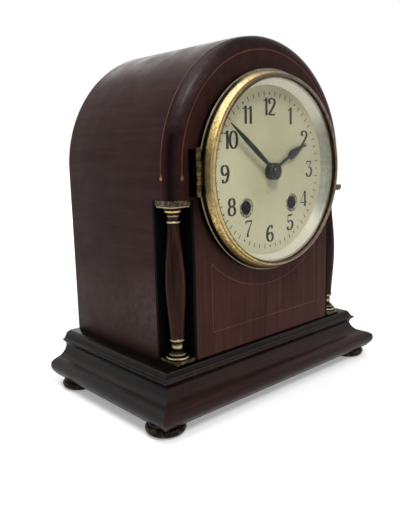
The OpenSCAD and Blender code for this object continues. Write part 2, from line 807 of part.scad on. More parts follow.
module bezel_ring() {
    l = hinge_knuckle_l - 0.3;
    color("#c29a3d") difference() {
        union() {
            turned(centre, bezel_outline());
            hinge_knuckle(hinge_z - l / 2, l, hinge_r);
            block([hinge_x, y_front - hinge_h, hinge_z - l / 2],
                  [1.6 - bezel_r, y_front - hinge_h + 1.5, hinge_z + l / 2]);
        }
        hinge_knuckle(hinge_z - l, 2 * l, hinge_pin_r + run_gap);
    }
}

module bezel_glass() {
    dome = [0, glass_top + glass_rise - glass_ball];
    color("#cfe0e4", 0.35) turned(centre, concat(
        arc(dome, glass_ball - glass_t, 90, 90 - glass_angle, 24),
        [[glass_r, glass_edge_h - glass_t], [glass_r, glass_top]],
        arc(dome, glass_ball, 90 - glass_angle, 90, 24)));
}

module sight_ring() {
    color("#ddd6bd") turned(centre, [
        [glass_r, sight_top], [glass_r - 1.9, sight_top], [sight_r, dial_h + 0.2],
        [sight_r + 0.6, dial_h + 0.15], [glass_r - 1.5, sight_top - 0.7], [glass_r, sight_top - 0.7]]);
}

module bezel_hinge() {
    end_l = (hinge_l - hinge_knuckle_l) / 2;
    color("#a98438") {
        block([hinge_x - hinge_leaf_w, y_front - 1, hinge_z - hinge_l / 2],
              [hinge_x + 0.8, y_front, hinge_z + hinge_l / 2]);
        for (z = [hinge_z - hinge_l / 2, hinge_z + hinge_l / 2 - end_l]) {
            hinge_knuckle(z, end_l, hinge_r);
            block([hinge_x - 0.8, y_front - hinge_h, z], [hinge_x + 0.8, y_front - 0.5, z + end_l]);
        }
        hinge_knuckle(hinge_z - hinge_l / 2, hinge_l + 1, hinge_pin_r);
        hinge_knuckle(hinge_z + hinge_l / 2, 1, hinge_r * 0.85);
    }
}

module bezel_catch() {
    low = bezel_back + 0.6;
    tip = step(centre, bezel_r + 9, catch_angle + 1.5);
    color("#b8943f") {
        slab(centre, y_front - low - 2, 2) difference() {
            union() {
                polygon(concat(arc(centre, bezel_r + 1.6, catch_angle, 2, 10),
                               arc(centre, bezel_r, 2, catch_angle, 10)));
                polygon([polar(bezel_r, catch_angle - 1), polar(bezel_r + 4, catch_angle - 0.6), tip,
                         polar(bezel_r + 4, catch_angle + 2.6), polar(bezel_r, catch_angle + 4)]);
            }
            circle(bezel_r, $fn = 256);
        }
    }
}

// Hands: outlines point to twelve and are turned to the time shown
hour_low = dial_h + 0.8;
hour_boss_t = 2.6;
minute_low = hour_low + hour_boss_t + 0.3;
minute_boss_t = 2.6;
nut_low = minute_low + minute_boss_t;
nut_t = 1.2;
hour_pipe_r = 3.3;
cannon_r = 2.2;
centre_r = arbor_r;

function minute_side(s) = 0.35 + 0.75 * (1 - s) + 1.15 * sin(180 * s);
function spade(u) = 1 - 0.7 * u + 3.4 * pow(max(0, sin(180 * pow(u, 0.55))), 1.3) * (1 - 0.35 * u);
function hour_side(s) = s < 0.42 ? 1 : spade((s - 0.42) / 0.58);
function blade(r, l, n, sides) = concat([for (i = [0:n]) [sides[i], r + (l - r) * i / n]],
                                        [for (i = [n:-1:0]) [-sides[i], r + (l - r) * i / n]]);

module hand(low, boss_t, angle, bore, pts) {
    difference() {
        union() {
            turned(centre, [[0, low], [hand_boss_r, low], [hand_boss_r, low + boss_t - 0.6],
                            [hand_boss_r - 0.6, low + boss_t], [0, low + boss_t]]);
            slab(centre, y_front - low - boss_t / 2 - hand_t / 2, hand_t) rotate(-angle) polygon(pts);
        }
        rod(centre, bore, y_front - low - boss_t - 1, boss_t + 2);
    }
}

module minute_hand() {
    color("#1c2026") hand(minute_low, minute_boss_t, minute_angle, cannon_r,
                          blade(hand_boss_r - 1, minute_len, 20, [for (i = [0:20]) minute_side(i / 20)]));
}

module hour_hand() {
    color("#1c2026") hand(hour_low, hour_boss_t, hour_angle, hour_pipe_r,
                          blade(hand_boss_r - 1, hour_len, 30, [for (i = [0:30]) hour_side(i / 30)]));
}

module hand_nut() {
    color("#2a2d32") difference() {
        turned(centre, [[0, nut_low], [3.4, nut_low], [3.4, nut_low + nut_t - 0.3], [2.9, nut_low + nut_t],
                        [0, nut_low + nut_t]]);
        rod(centre, centre_r, y_front - nut_low - nut_t - 1, nut_t + 2);
    }
}

// Wheels and pinions: a tooth of a wheel, or a gap of a pinion, points along the angle toward its mate
function teeth(n, root, pitch, tip, wide, narrow, from) = [for (i = [0:n - 1])
    let (q = 360 / n, a = from + q * i)
    each [polar(root, a - wide * q), polar(pitch, a - wide * q), polar(tip, a - narrow * q),
          polar(tip, a + narrow * q), polar(pitch, a + wide * q), polar(root, a + wide * q)]];
function wheel_teeth(n, m, toward) =
    teeth(n, pitch_r(n, m) - 1.2 * m, pitch_r(n, m), pitch_r(n, m) + tooth_tip * m, 0.21, 0.06, toward);
function pinion_teeth(n, m, toward) =
    teeth(n, pitch_r(n, m) - 1.3 * m, pitch_r(n, m), pitch_r(n, m) + 0.5 * m, 0.17, 0.07, toward + 180 / n);
function saw_teeth(n, root, tip, lean) = [for (i = [0:n - 1])
    each [polar(root, 360 * i / n), polar(tip, 360 * (i + lean) / n)]];

arms = 5;
arm_w = 1.6;
hub_r = 3.4;

// The gap between two arms of a wheel
function arm_edge(r) = asin(arm_w / 2 / r);
function window(r) = concat(arc(centre, r, arm_edge(r), 360 / arms - arm_edge(r), 6),
                            arc(centre, hub_r, 360 / arms - arm_edge(hub_r), arm_edge(hub_r), 3));

module wheel(p, t, thick, n, m, mate) {
    difference() {
        slab(p, train_y + t, thick) polygon(wheel_teeth(n, m, heading(p, mate)));
        for (i = [0:arms - 1]) slab(p, train_y + t - 1, thick + 2)
            rotate(360 / arms * i) polygon(window(pitch_r(n, m) - 1.2 * m - 1.5));
    }
}

module pinion(p, t, l, n, m, mate) {
    slab(p, train_y + t, l) polygon(pinion_teeth(n, m, heading(p, mate)));
}

// An arbor between the plates, with a pivot in each
module arbor(p) {
    rod(p, arbor_r, train_y + 0.3, plate_gap - 0.6);
    rod(p, pivot_r, plate_y + 0.2, plate_t + plate_gap + plate_t - 0.4);
}

// Plates
front_journal_r = 2.4;
rear_journal_r = 1.5;
click_r = ratchet_r + 3.5;
click_angle = -60;
click_stud_r = 1;
time_click_at = step(time_at, click_r, click_angle);
strike_click_at = [-time_click_at[0], time_click_at[1]];
pillar_stud_r = 1.3;
both_pivots = [inter_at, strike_inter_at, third_at, escape_at, pin_at, warning_at, fly_at];

// The room for the plates under the arch of the case
module under_arch(y) {
    arched(inner_r - plate_clear, plinth_z, y - 1, plate_t + 2);
}

module holes(places, r, y) {
    for (p = places) rod(p, r + run_gap, y - 1, plate_t + 2);
}

module front_plate() {
    color("#b8943f") difference() {
        intersection() {
            union() {
                block([-plate_x, plate_y, dial_z - plate_low], [plate_x, train_y, dial_z + plate_top]);
                for (z = [dial_z + mount_at[0][1], dial_z + mount_at[3][1]])
                    block([-mount_reach, plate_y, z - mount_margin],
                          [mount_reach, train_y, z + mount_margin]);
            }
            under_arch(plate_y);
        }
        holes(concat(both_pivots, [pallet_at, hammer_at]), pivot_r, plate_y);
        holes([centre, minute_at], centre_r, plate_y);
        holes([time_at, strike_at], front_journal_r, plate_y);
        holes([time_click_at, strike_click_at], click_stud_r, plate_y);
        holes(pillar_at, pillar_stud_r, plate_y);
        holes(mount_at, mount_shank_r, plate_y);
    }
}

module back_plate() {
    color("#b8943f") difference() {
        intersection() {
            block([-plate_x, rear_plate_y, dial_z - plate_low], [plate_x, rear_y, dial_z + plate_top]);
            under_arch(rear_plate_y);
        }
        holes(concat(both_pivots, [centre]), pivot_r, rear_plate_y);
        holes([pallet_at, hammer_at], arbor_r, rear_plate_y);
        holes([time_at, strike_at], rear_journal_r, rear_plate_y);
        holes(pillar_at, pillar_stud_r, rear_plate_y);
    }
}

module plate_pillars() {
    color("#c2a050") for (p = pillar_at) {
        rod(p, pillar_r, train_y, plate_gap);
        rod(p, pillar_stud_r, plate_y - 1, plate_gap + 2 * plate_t + 2);
        rod(p, pillar_r * 0.85, plate_y - 1.5, 1.5);
        rod(p, pillar_r * 0.85, rear_y, 1.5);
    }
}

module movement_screws() {
    color("#6a6a6a") for (p = mount_at) {
        rod(p, mount_shank_r, y_front + front_t - mount_in, train_y - y_front - front_t + mount_in + 1);
        rod(p, 2 * mount_shank_r, y_front + front_t, plate_stand - front_t);
        rod(p, 2.1 * mount_shank_r, train_y, 1.5);
    }
}

// Barrels
great_wheel_t = 2.5;
drum_r = pitch_r(great_n, great_m) - drum_step;
drum_in = drum_r - drum_wall;
spring_from = barrel_arbor_r + 0.5;
spring_step = (drum_in - spring_from - spring_t - 0.2) / spring_turns;

function coil(r0, growth, turns, n) = [for (i = [0:turns * n]) polar(r0 + growth * i / n, 360 * i / n)];
function reversed(pts) = [for (i = [len(pts) - 1:-1:0]) pts[i]];
function ribbon(r0, growth, turns, n, w) =
    concat(coil(r0, growth, turns, n), reversed(coil(r0 + w, growth, turns, n)));

module barrel(p, mate) {
    color("#c29a3d") difference() {
        union() {
            rod(p, drum_r, train_y + drum_t - cap_t, drum_l + cap_t);
            slab(p, train_y + great_t, great_wheel_t)
                polygon(wheel_teeth(great_n, great_m, heading(p, mate)));
        }
        rod(p, drum_in, train_y + drum_t, drum_l);
        rod(p, barrel_arbor_r + run_gap, train_y, plate_gap);
    }
}

module mainspring(p) {
    color("#4d5663") slab(p, train_y + drum_t + 0.6, drum_l - 1.2)
        polygon(ribbon(spring_from, spring_step, spring_turns, 24, spring_t));
}

module winding_arbor(p) {
    front = drum_t - cap_t - 0.4;
    back = great_t + great_wheel_t + 0.4;
    color("#8b8f94") {
        rod(p, barrel_arbor_r, train_y + front, back - front);
        rod(p, front_journal_r, y_front + 9, train_y + front - y_front - 8);
        rod(p, rear_journal_r, train_y + back - 1, rear_y - train_y - back + 0.8);
        slab(p, y_front + 3, 7) square(square_w, center = true);
        slab(p, plate_y - 3.5, 2) polygon(saw_teeth(ratchet_n, ratchet_r - 1.2, ratchet_r, 0.85));
    }
}

// A click lies just outside its ratchet and pivots on its own stud in the front plate
module click_on(p, stud) {
    color("#8b8f94") {
        rod(stud, click_stud_r, plate_y - 3.5, plate_t + 3.3);
        slab(p, plate_y - 3.3, 1.6) polygon([polar(ratchet_r + 0.3, -100), polar(ratchet_r + 0.8, -85),
            polar(ratchet_r + 1.4, -70), polar(ratchet_r + 2, -52), polar(ratchet_r + 5, -52),
            polar(ratchet_r + 5, -68), polar(ratchet_r + 2.2, -100)]);
    }
}

module time_barrel() {
    barrel(time_at, inter_at);
}

module time_mainspring() {
    mainspring(time_at);
}

module time_winding_arbor() {
    winding_arbor(time_at);
}

module time_click() {
    click_on(time_at, time_click_at);
}

module strike_barrel() {
    barrel(strike_at, strike_inter_at);
}

module strike_mainspring() {
    mainspring(strike_at);
}

module strike_winding_arbor() {
    winding_arbor(strike_at);
}

module strike_click() {
    mirror([1, 0, 0]) click_on(time_at, time_click_at);
}

// Going train
module time_intermediate_wheel() {
    color("#c29a3d") {
        arbor(inter_at);
        pinion(inter_at, great_t - 0.5, great_wheel_t + 1, slow_leaves, great_m, time_at);
        wheel(inter_at, inter_t, wheel_t, inter_n, inter_m, centre);
    }
}

module centre_wheel() {
    color("#c29a3d") {
        arbor(centre);
        rod(centre, centre_r, y_front - nut_low - nut_t - 0.3, train_y - y_front + nut_low + nut_t + 1);
        pinion(centre, inter_t - 0.4, wheel_t + 0.8, slow_leaves, inter_m, inter_at);
        wheel(centre, centre_t, wheel_t, centre_n, fast_m, third_at);
    }
}

module third_wheel() {
    color("#c29a3d") {
        arbor(third_at);
        pinion(third_at, centre_t - 0.5, wheel_t + 1, fast_leaves, fast_m, centre);
        wheel(third_at, third_t, wheel_t, third_n, fast_m, escape_at);
    }
}

module escape_wheel() {
    color("#c29a3d") {
        arbor(escape_at);
        pinion(escape_at, third_t - 1, wheel_t + 2, fast_leaves, fast_m, third_at);
        difference() {
            slab(escape_at, train_y + escape_t, 1.2)
                polygon(saw_teeth(escape_n, escape_r - 1.6, escape_r, 0.8));
            for (i = [0:arms - 1]) slab(escape_at, train_y + escape_t - 1, 4)
                rotate(360 / arms * i) polygon(window(escape_r - 3));
        }
    }
}

// Pallets stay this far off the tips of the escape wheel at rest
pallet_off = 1.2;
pallet_tip = step([0, -pallet_rise], escape_r + pallet_off, 35);
crutch_l = 33;
// The arms hang this far below the arbor, so that they clear the wheel at both ends of the swing
arm_drop = 0.6;
fork_r = 0.5;

module pallet_anchor() {
    x = pallet_tip[0];
    z = pallet_tip[1];
    color("#8b8f94") {
        rod(pallet_at, pivot_r, plate_y + 0.2, plate_t + 1);
        rod(pallet_at, arbor_r, train_y + 0.3, rear_y - train_y + 3.7);
        slab(pallet_at, train_y + escape_t - 0.4, 2)
            polygon([[0, 2.4], [2.4, 1.8], [x + 1.6, z + 2.2], [x + 1.6, z], [x, z], [x - 1, z + 2.6],
                     [1.6, -arm_drop], [-1.6, -arm_drop], [1 - x, z + 2.6], [-x, z], [-x - 1.6, z],
                     [-x - 1.6, z + 2.2], [-2.4, 1.8]]);
        slab(pallet_at, rear_y + 2, 1.6) translate([-1.8, -crutch_l - 1.5]) square([3.6, crutch_l + 3.5]);
        for (s = [-1, 1]) rod(pallet_at + [s * (rod_r + fork_r + 0.1), -crutch_l], fork_r, rear_y + 3,
                              pendulum_back - 1);
    }
}

// Motion work, between the dial and the front plate
cannon_y = plate_y - 3.6;
hour_y = plate_y - 7;

module cannon_pinion() {
    color("#8b8f94") difference() {
        union() {
            slab(centre, cannon_y, 2.6)
                polygon(pinion_teeth(cannon_leaves, motion_m, heading(centre, minute_at)));
            rod(centre, cannon_r, y_front - nut_low, cannon_y - y_front + nut_low + 1);
        }
        rod(centre, centre_r, y_front - nut_low - 1, cannon_y - y_front + nut_low + 5);
    }
}

module minute_wheel() {
    color("#c29a3d") {
        rod(minute_at, centre_r, plate_y - 7.4, plate_t + 7.2);
        slab(minute_at, cannon_y + 0.5, wheel_t)
            polygon(wheel_teeth(minute_n, motion_m, heading(minute_at, centre)));
        slab(minute_at, hour_y - 0.2, cannon_y + 0.7 - hour_y)
            polygon(pinion_teeth(minute_leaves, hour_m, heading(minute_at, centre)));
    }
}

module hour_wheel() {
    tip = y_front - hour_low - hour_boss_t;
    color("#c29a3d") difference() {
        union() {
            slab(centre, hour_y, wheel_t) polygon(wheel_teeth(hour_n, hour_m, heading(centre, minute_at)));
            rod(centre, hour_pipe_r, tip, hour_y - tip + wheel_t / 2);
        }
        rod(centre, cannon_r + run_gap, tip - 1, hour_y - tip + wheel_t + 2);
    }
}

// Striking train
lift_pins = 10;
lift_r = pitch_r(pin_n, pin_m) - 2.5;
lift_pin_r = 0.7;
fly_t = 5;
fly_l = 9;
fly_w = 16;

module strike_intermediate_wheel() {
    color("#c29a3d") {
        arbor(strike_inter_at);
        pinion(strike_inter_at, great_t - 0.5, great_wheel_t + 1, slow_leaves, great_m, strike_at);
        wheel(strike_inter_at, strike_inter_t, wheel_t, inter_n, inter_m, pin_at);
    }
}

module pin_wheel() {
    color("#c29a3d") {
        arbor(pin_at);
        pinion(pin_at, strike_inter_t - 0.4, wheel_t + 0.8, slow_leaves, inter_m, strike_inter_at);
        wheel(pin_at, pin_t, wheel_t, pin_n, pin_m, warning_at);
        for (i = [0:lift_pins - 1]) rod(step(pin_at, lift_r, 36 * i), lift_pin_r, train_y + pin_t - 3.5, 4);
    }
}

module warning_wheel() {
    color("#c29a3d") {
        arbor(warning_at);
        pinion(warning_at, pin_t - 1, wheel_t + 2, fast_leaves, pin_m, pin_at);
        wheel(warning_at, warning_t, wheel_t, warning_n, fast_m, fly_at);
    }
}

module fly() {
    color("#c29a3d") {
        arbor(fly_at);
        pinion(fly_at, warning_t - 1, wheel_t + 2, fast_leaves, fast_m, warning_at);
        slab(fly_at, train_y + fly_t, fly_l) square([fly_w, 1], center = true);
        rod(fly_at, 1.8, train_y + fly_t, fly_l);
    }
}

// Hammer and gong
tail_l = apart(hammer_at, pin_at) - lift_r - lift_pin_r - 1;
gong_from = 16;
gong_wire_t = 3;
gong_post_x = 6;
gong_post_d = 8;
gong_foot_x = 14;
gong_foot_d = 15;
gong_foot_t = 4;
gong_growth = (gong_r - gong_from) / gong_turns;
hammer_r = 3.5;

module strike_hammer() {
    color("#9a9389") {
        rod(hammer_at, pivot_r, plate_y + 0.2, plate_t + 1);
        rod(hammer_at, arbor_r, train_y + 0.3, gong_y - train_y + 1.5);
        slab(hammer_at, train_y + pin_t - 3, 2) rotate(heading(hammer_at, pin_at)) translate([0, -0.8])
            square([tail_l, 1.6]);
        translate([hammer_at[0], gong_y, dial_z + hammer_at[1] - hammer_l])
            cylinder(r = arbor_r, h = hammer_l);
        translate([hammer_at[0] - hammer_head_l / 2, gong_y, dial_z - gong_drop]) rotate([0, 90, 0])
            cylinder(r = hammer_r, h = hammer_head_l);
    }
}

module gong() {
    front = gong_y - gong_wire_t / 2;
    post = gong_y + gong_wire_t / 2 + 1;
    color("#5d6b7a") {
        slab(gong_at, front, gong_wire_t)
            polygon(ribbon(gong_from - gong_wire / 2, gong_growth, gong_turns, 36, gong_wire));
        slab(gong_at, front, gong_wire_t) square([gong_from, 3]);
        rod(gong_at, gong_post_x, front, post + gong_post_d - front);
        block([-gong_post_x, post, plinth_z], [gong_post_x, post + gong_post_d, dial_z - gong_drop]);
        block([-gong_foot_x, post, plinth_z], [gong_foot_x, post + gong_foot_d, plinth_z + gong_foot_t]);
    }
}

// Pendulum: heights are measured from the flexing point
flex_z = dial_z + pallet_at[1];
strip_x = 0.15;
slit_x = 0.75;
clip_x = 2.2;
clip_y = 3.4;
clip_top = 2.5;
clip_low = 10;
rating_t = 3;
thread_l = 7;

module suspension_cock() {
    color("#b8943f") {
        block([-6, rear_y, flex_z + spring_half], [6, pendulum_y + 4, flex_z + spring_half + cock_t]);
        block([-strip_x, pendulum_y - 3, flex_z - spring_half],
              [strip_x, pendulum_y + 3, flex_z + spring_half + 1]);
    }
}

module pendulum_rod() {
    color("#8b8f94") {
        difference() {
            block([-clip_x, pendulum_y - clip_y, flex_z - clip_low],
                  [clip_x, pendulum_y + clip_y, flex_z - clip_top]);
            block([-slit_x, pendulum_y - clip_y - 1, flex_z - spring_half - 1],
                  [slit_x, pendulum_y + clip_y + 1, flex_z]);
        }
        translate([0, pendulum_y, flex_z - pendulum_l - bob_r - thread_l])
            cylinder(r = rod_r, h = pendulum_l + bob_r + thread_l - clip_low + 1);
    }
}

module pendulum_bob() {
    h = bob_t / 2;
    color("#c29a3d") difference() {
        translate([0, pendulum_y, flex_z - pendulum_l]) rotate([90, 0, 0]) rotate_extrude()
            polygon([[0, -h], [0.35 * bob_r, -0.94 * h], [0.65 * bob_r, -0.76 * h], [0.88 * bob_r, -0.5 * h],
                     [bob_r, -0.25 * h], [bob_r, 0.25 * h], [0.88 * bob_r, 0.5 * h], [0.65 * bob_r, 0.76 * h],
                     [0.35 * bob_r, 0.94 * h], [0, h]]);
        translate([0, pendulum_y, flex_z - pendulum_l - bob_r - 1])
            cylinder(r = rod_r + run_gap, h = 2 * bob_r + 2);
    }
}

module rating_nut() {
    color("#c29a3d") difference() {
        translate([0, pendulum_y, flex_z - pendulum_l - bob_r - rating_t - 0.6])
            cylinder(r = 3 * rod_r, h = rating_t);
        translate([0, pendulum_y, flex_z - pendulum_l - bob_r - rating_t - 2])
            cylinder(r = rod_r + run_gap, h = rating_t + 3);
    }
}

case_shell();
front_panel();
back_panel();
niche_linings();
front_stringing();
side_stringing();
column_shafts();
column_capitals();
column_bases();
plinth_board();
plinth_front_moulding();
plinth_side_mouldings();
plinth_back_rail();
bun_feet();
foot_screws();
back_door();
door_knob();
door_hinge_fixed();
door_hinge_moving();
dial_plate();
dial_pan();
winding_eyelets();
bezel_ring();
bezel_glass();
sight_ring();
bezel_hinge();
bezel_catch();
minute_hand();
hour_hand();
hand_nut();
front_plate();
back_plate();
plate_pillars();
movement_screws();
time_barrel();
time_mainspring();
time_winding_arbor();
time_click();
time_intermediate_wheel();
centre_wheel();
third_wheel();
escape_wheel();
pallet_anchor();
cannon_pinion();
minute_wheel();
hour_wheel();
strike_barrel();
strike_mainspring();
strike_winding_arbor();
strike_click();
strike_intermediate_wheel();
pin_wheel();
warning_wheel();
fly();
strike_hammer();
gong();
suspension_cock();
pendulum_rod();
pendulum_bob();
rating_nut();
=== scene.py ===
"""Looks of an arched mahogany mantel clock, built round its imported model.

Lengths are millimetres in the object's own frame: X to the right seen from the front, Y from front
to back, Z up. Meshes are turned into metres when a piece is made.
"""

import logging
import math
from collections.abc import Sequence
from dataclasses import dataclass, field
from enum import Enum

import bmesh
import bpy
import numpy as np
from mathutils import Matrix, Vector


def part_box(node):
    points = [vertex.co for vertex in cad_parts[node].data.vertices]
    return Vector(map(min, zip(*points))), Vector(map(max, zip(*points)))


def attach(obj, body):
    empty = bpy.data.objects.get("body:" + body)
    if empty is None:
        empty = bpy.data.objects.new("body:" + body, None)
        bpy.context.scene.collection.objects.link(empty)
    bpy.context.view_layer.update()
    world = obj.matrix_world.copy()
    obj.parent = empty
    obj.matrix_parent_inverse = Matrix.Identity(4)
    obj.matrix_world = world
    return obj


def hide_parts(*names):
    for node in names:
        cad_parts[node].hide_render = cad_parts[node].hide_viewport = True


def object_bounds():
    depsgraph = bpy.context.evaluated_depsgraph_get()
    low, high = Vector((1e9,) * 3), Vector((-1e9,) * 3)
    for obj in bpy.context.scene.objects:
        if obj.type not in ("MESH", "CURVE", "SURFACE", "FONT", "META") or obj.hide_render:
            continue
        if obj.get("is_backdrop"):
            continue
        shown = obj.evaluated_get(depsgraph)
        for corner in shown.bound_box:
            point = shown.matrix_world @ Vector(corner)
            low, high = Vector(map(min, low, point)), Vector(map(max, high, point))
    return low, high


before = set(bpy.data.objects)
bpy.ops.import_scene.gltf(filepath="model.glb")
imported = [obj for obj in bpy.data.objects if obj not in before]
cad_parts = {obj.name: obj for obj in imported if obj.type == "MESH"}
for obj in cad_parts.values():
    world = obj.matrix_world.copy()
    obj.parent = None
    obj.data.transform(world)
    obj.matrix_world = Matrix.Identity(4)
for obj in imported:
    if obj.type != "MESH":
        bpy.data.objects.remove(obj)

MM = 0.001
# Points that lie closer, in metres, become one.
MERGE = 1e-7
# Edges with a larger angle between their faces stay sharp.
CREASE = math.radians(32)
CORNER_POINTS = 7
# A distance that lies past the end of every piece.
PAST = 1000.0
CASE_BODY = "case"
Array = np.ndarray
Colour = tuple[float, float, float]
Stroke = tuple[Array, Array]
Socket = bpy.types.NodeSocket
log = logging.getLogger("mantel_clock")


class Axis(Enum):
    """The way that the height of a turned piece runs."""

    UP = "up"
    FORWARD = "forward"
    BACKWARD = "backward"


class Datum(Enum):
    """What a place on a surface is measured from.

    Each has a direction, a solid, and the share of the way through the solid's box where zero lies.
    The last one measures outwards from the middle of the dial.
    """

    MIDDLE = ("X", "case_shell", 0.5)
    CASE_FRONT = ("Y", "case_shell", 0)
    CASE_FOOT = ("Z", "case_shell", 0)
    MOULDING_FOOT = ("Z", "plinth_front_moulding", 0)
    BOARD_FOOT = ("Z", "plinth_board", 0)
    BASE_FOOT = ("Z", "column_bases", 0)
    SHAFT_HEAD = ("Z", "column_shafts", 1)
    DIAL_HEIGHT = ("Z", "dial_plate", 0.5)
    DIAL_MIDDLE = ("RADIUS", "dial_plate", 0)

    def zero(self) -> float:
        """Finds where zero lies.

        Returns:
            Its place along the direction, in millimetres.
        """
        if self is Datum.DIAL_MIDDLE:
            return 0.0
        way, node, share = self.value
        low, high = (corner["XYZ".index(way)] for corner in box_mm(node))
        return low + share * (high - low)


class Grain(Enum):
    """The way that the grain of a board runs, with the stretch of its pattern along X, Y and Z."""

    ACROSS = (0.05, 1.0, 1.0)
    FRONT_TO_BACK = (1.0, 0.05, 1.0)
    UPRIGHT = (1.0, 1.0, 0.05)


# Shapes


@dataclass
class Skin:
    """Corner points and faces of a surface."""

    points: Array
    faces: list[list[int]]

    def __add__(self, other: "Skin") -> "Skin":
        """Joins two surfaces.

        Args:
            other: The surface to add.

        Returns:
            Both surfaces as one.
        """
        shift = len(self.points)
        moved = [[corner + shift for corner in face] for face in other.faces]
        return Skin(np.concatenate([self.points, other.points]), self.faces + moved)


def joined(skins: Sequence[Skin]) -> Skin:
    """Several surfaces as one."""
    return sum(skins[1:], skins[0])


def box_mm(node: str) -> tuple[Array, Array]:
    """The lowest and highest corners of a solid, in millimetres."""
    low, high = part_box(node)
    return np.array(low) / MM, np.array(high) / MM


def arc(centre: Sequence[float], radius: float, start: float, end: float, steps: int = 16) -> Array:
    """Points on a circle: its centre plus the radius at even angles.

    Args:
        centre: Middle of the circle.
        radius: Radius of the circle.
        start: First angle, in degrees.
        end: Last angle, in degrees.
        steps: Number of stretches between the points.

    Returns:
        The points, one to a row.
    """
    angle = np.radians(np.linspace(start, end, steps + 1))
    return np.column_stack([centre[0] + radius * np.cos(angle), centre[1] + radius * np.sin(angle)])


def bead(reach: float, low: float, high: float) -> Array:
    """A half round between two heights that stands out to a radius."""
    half = (high - low) / 2
    return arc((reach - half, (low + high) / 2), half, -90, 90)


def outline(*stretches: Sequence) -> Array:
    """Single points and stretches of points as one row of points."""
    return np.concatenate([np.atleast_2d(np.asarray(stretch, float)) for stretch in stretches])


def curve(knots: Sequence[Sequence[float]], steps: int = 8) -> Array:
    """A smooth line through knots.

    Between two knots it is the cubic whose slope at each knot is half the step from the knot before
    to the knot after.

    Args:
        knots: Points that the line passes through.
        steps: Number of stretches between two knots.

    Returns:
        The points, one to a row.
    """
    knot = np.asarray(knots, float)
    padded = np.concatenate([[2 * knot[0] - knot[1]], knot, [2 * knot[-1] - knot[-2]]])
    before, here, there, after = (padded[i : len(padded) - 3 + i][:, None, :] for i in range(4))
    t = np.linspace(0, 1, steps, endpoint=False)[None, :, None]
    bend = 2 * before - 5 * here + 4 * there - after
    twist = 3 * here - before - 3 * there + after
    spans = here + 0.5 * ((there - before) * t + bend * t**2 + twist * t**3)
    return np.concatenate([spans.reshape(-1, knot.shape[1]), knot[-1:]])


def grid(points: Array, wrap_rows: bool = False, wrap_columns: bool = False, caps: bool = False) -> Skin:
    """Joins a grid of points into faces of four corners.

    Args:
        points: Rows and columns of points.
        wrap_rows: Joins the last row to the first.
        wrap_columns: Joins the last column to the first.
        caps: Closes the first and the last row with a face each.

    Returns:
        The surface.
    """
    rows, columns = points.shape[:2]
    index = np.arange(rows * columns).reshape(rows, columns)
    ends = [index[0].tolist(), index[-1].tolist()] if caps else []
    index = np.concatenate([index, index[:1]]) if wrap_rows else index
    index = np.concatenate([index, index[:, :1]], axis=1) if wrap_columns else index
    around = [index[:-1, :-1], index[1:, :-1], index[1:, 1:], index[:-1, 1:]]
    faces = np.stack(around, axis=-1).reshape(-1, 4).tolist()
    return Skin(points.reshape(-1, 3), faces + ends)


def revolve(profile: Array, centre: Sequence[float], axis: Axis, ring: bool = False,
            sides: int = 96) -> Skin:
    """Turns a profile round an axis: each point goes round a circle of its own radius at its own height.

    Args:
        profile: Radius and height of each point.
        centre: Point on the axis where the height is zero.
        axis: The way that the height runs.
        ring: Joins the last point of the profile to the first.
        sides: Number of stretches round the axis.

    Returns:
        The surface.
    """
    turn = np.linspace(0, 2 * np.pi, sides, endpoint=False)
    radius, height = profile[:, :1], profile[:, 1:]
    across, along = radius * np.cos(turn), radius * np.sin(turn)
    height = np.broadcast_to(height, across.shape)
    if axis is Axis.UP:
        parts = (across, along, height)
    else:
        parts = (across, height if axis is Axis.BACKWARD else -height, along)
    return grid(np.stack(parts, axis=-1) + np.asarray(centre), wrap_rows=ring, wrap_columns=True)


def plate(centre: Sequence[float], half: Sequence[float], rows: Array, corner: float) -> Skin:
    """A plate with rounded corners and a moulded edge.

    Each point is the centre of a rounded corner, plus the direction out of that corner times the
    corner's radius less the inset of the row.

    Args:
        centre: Middle of the plate, at the height where the rows start.
        half: Half its size along X and Y.
        rows: Inset of the edge and height, from the bottom up.
        corner: Radius of the corners, larger than every inset.

    Returns:
        The surface.
    """
    quarter = np.linspace(0, 90, CORNER_POINTS)[None, :]
    angle = np.radians(quarter) + np.radians([[0], [90], [180], [270]])
    sign_x, sign_y = np.array([[1], [-1], [-1], [1]]), np.array([[1], [1], [-1], [-1]])
    out = np.stack([np.cos(angle), np.sin(angle)], axis=-1).reshape(-1, 2)
    hubs = np.stack([sign_x * (half[0] - corner), sign_y * (half[1] - corner)], axis=-1)
    hubs = np.repeat(hubs.reshape(4, 2), CORNER_POINTS, axis=0)
    flat = hubs[None] + (corner - rows[:, :1])[:, :, None] * out[None]
    height = np.broadcast_to(rows[:, 1:], flat.shape[:2])
    points = np.concatenate([flat, height[..., None]], axis=-1) + np.asarray(centre)
    return grid(points, wrap_columns=True, caps=True)


def softened(height: float, edge: float) -> Array:
    """Rows of a plain plate edge whose two arrises are quarter rounds.

    Args:
        height: Height of the plate.
        edge: Radius of the arrises.

    Returns:
        Inset and height of each row, from the bottom up.
    """
    low = arc((edge, edge), edge, 270, 180, 4)
    high = arc((edge, height - edge), edge, 180, 90, 4)
    return np.concatenate([low, high])


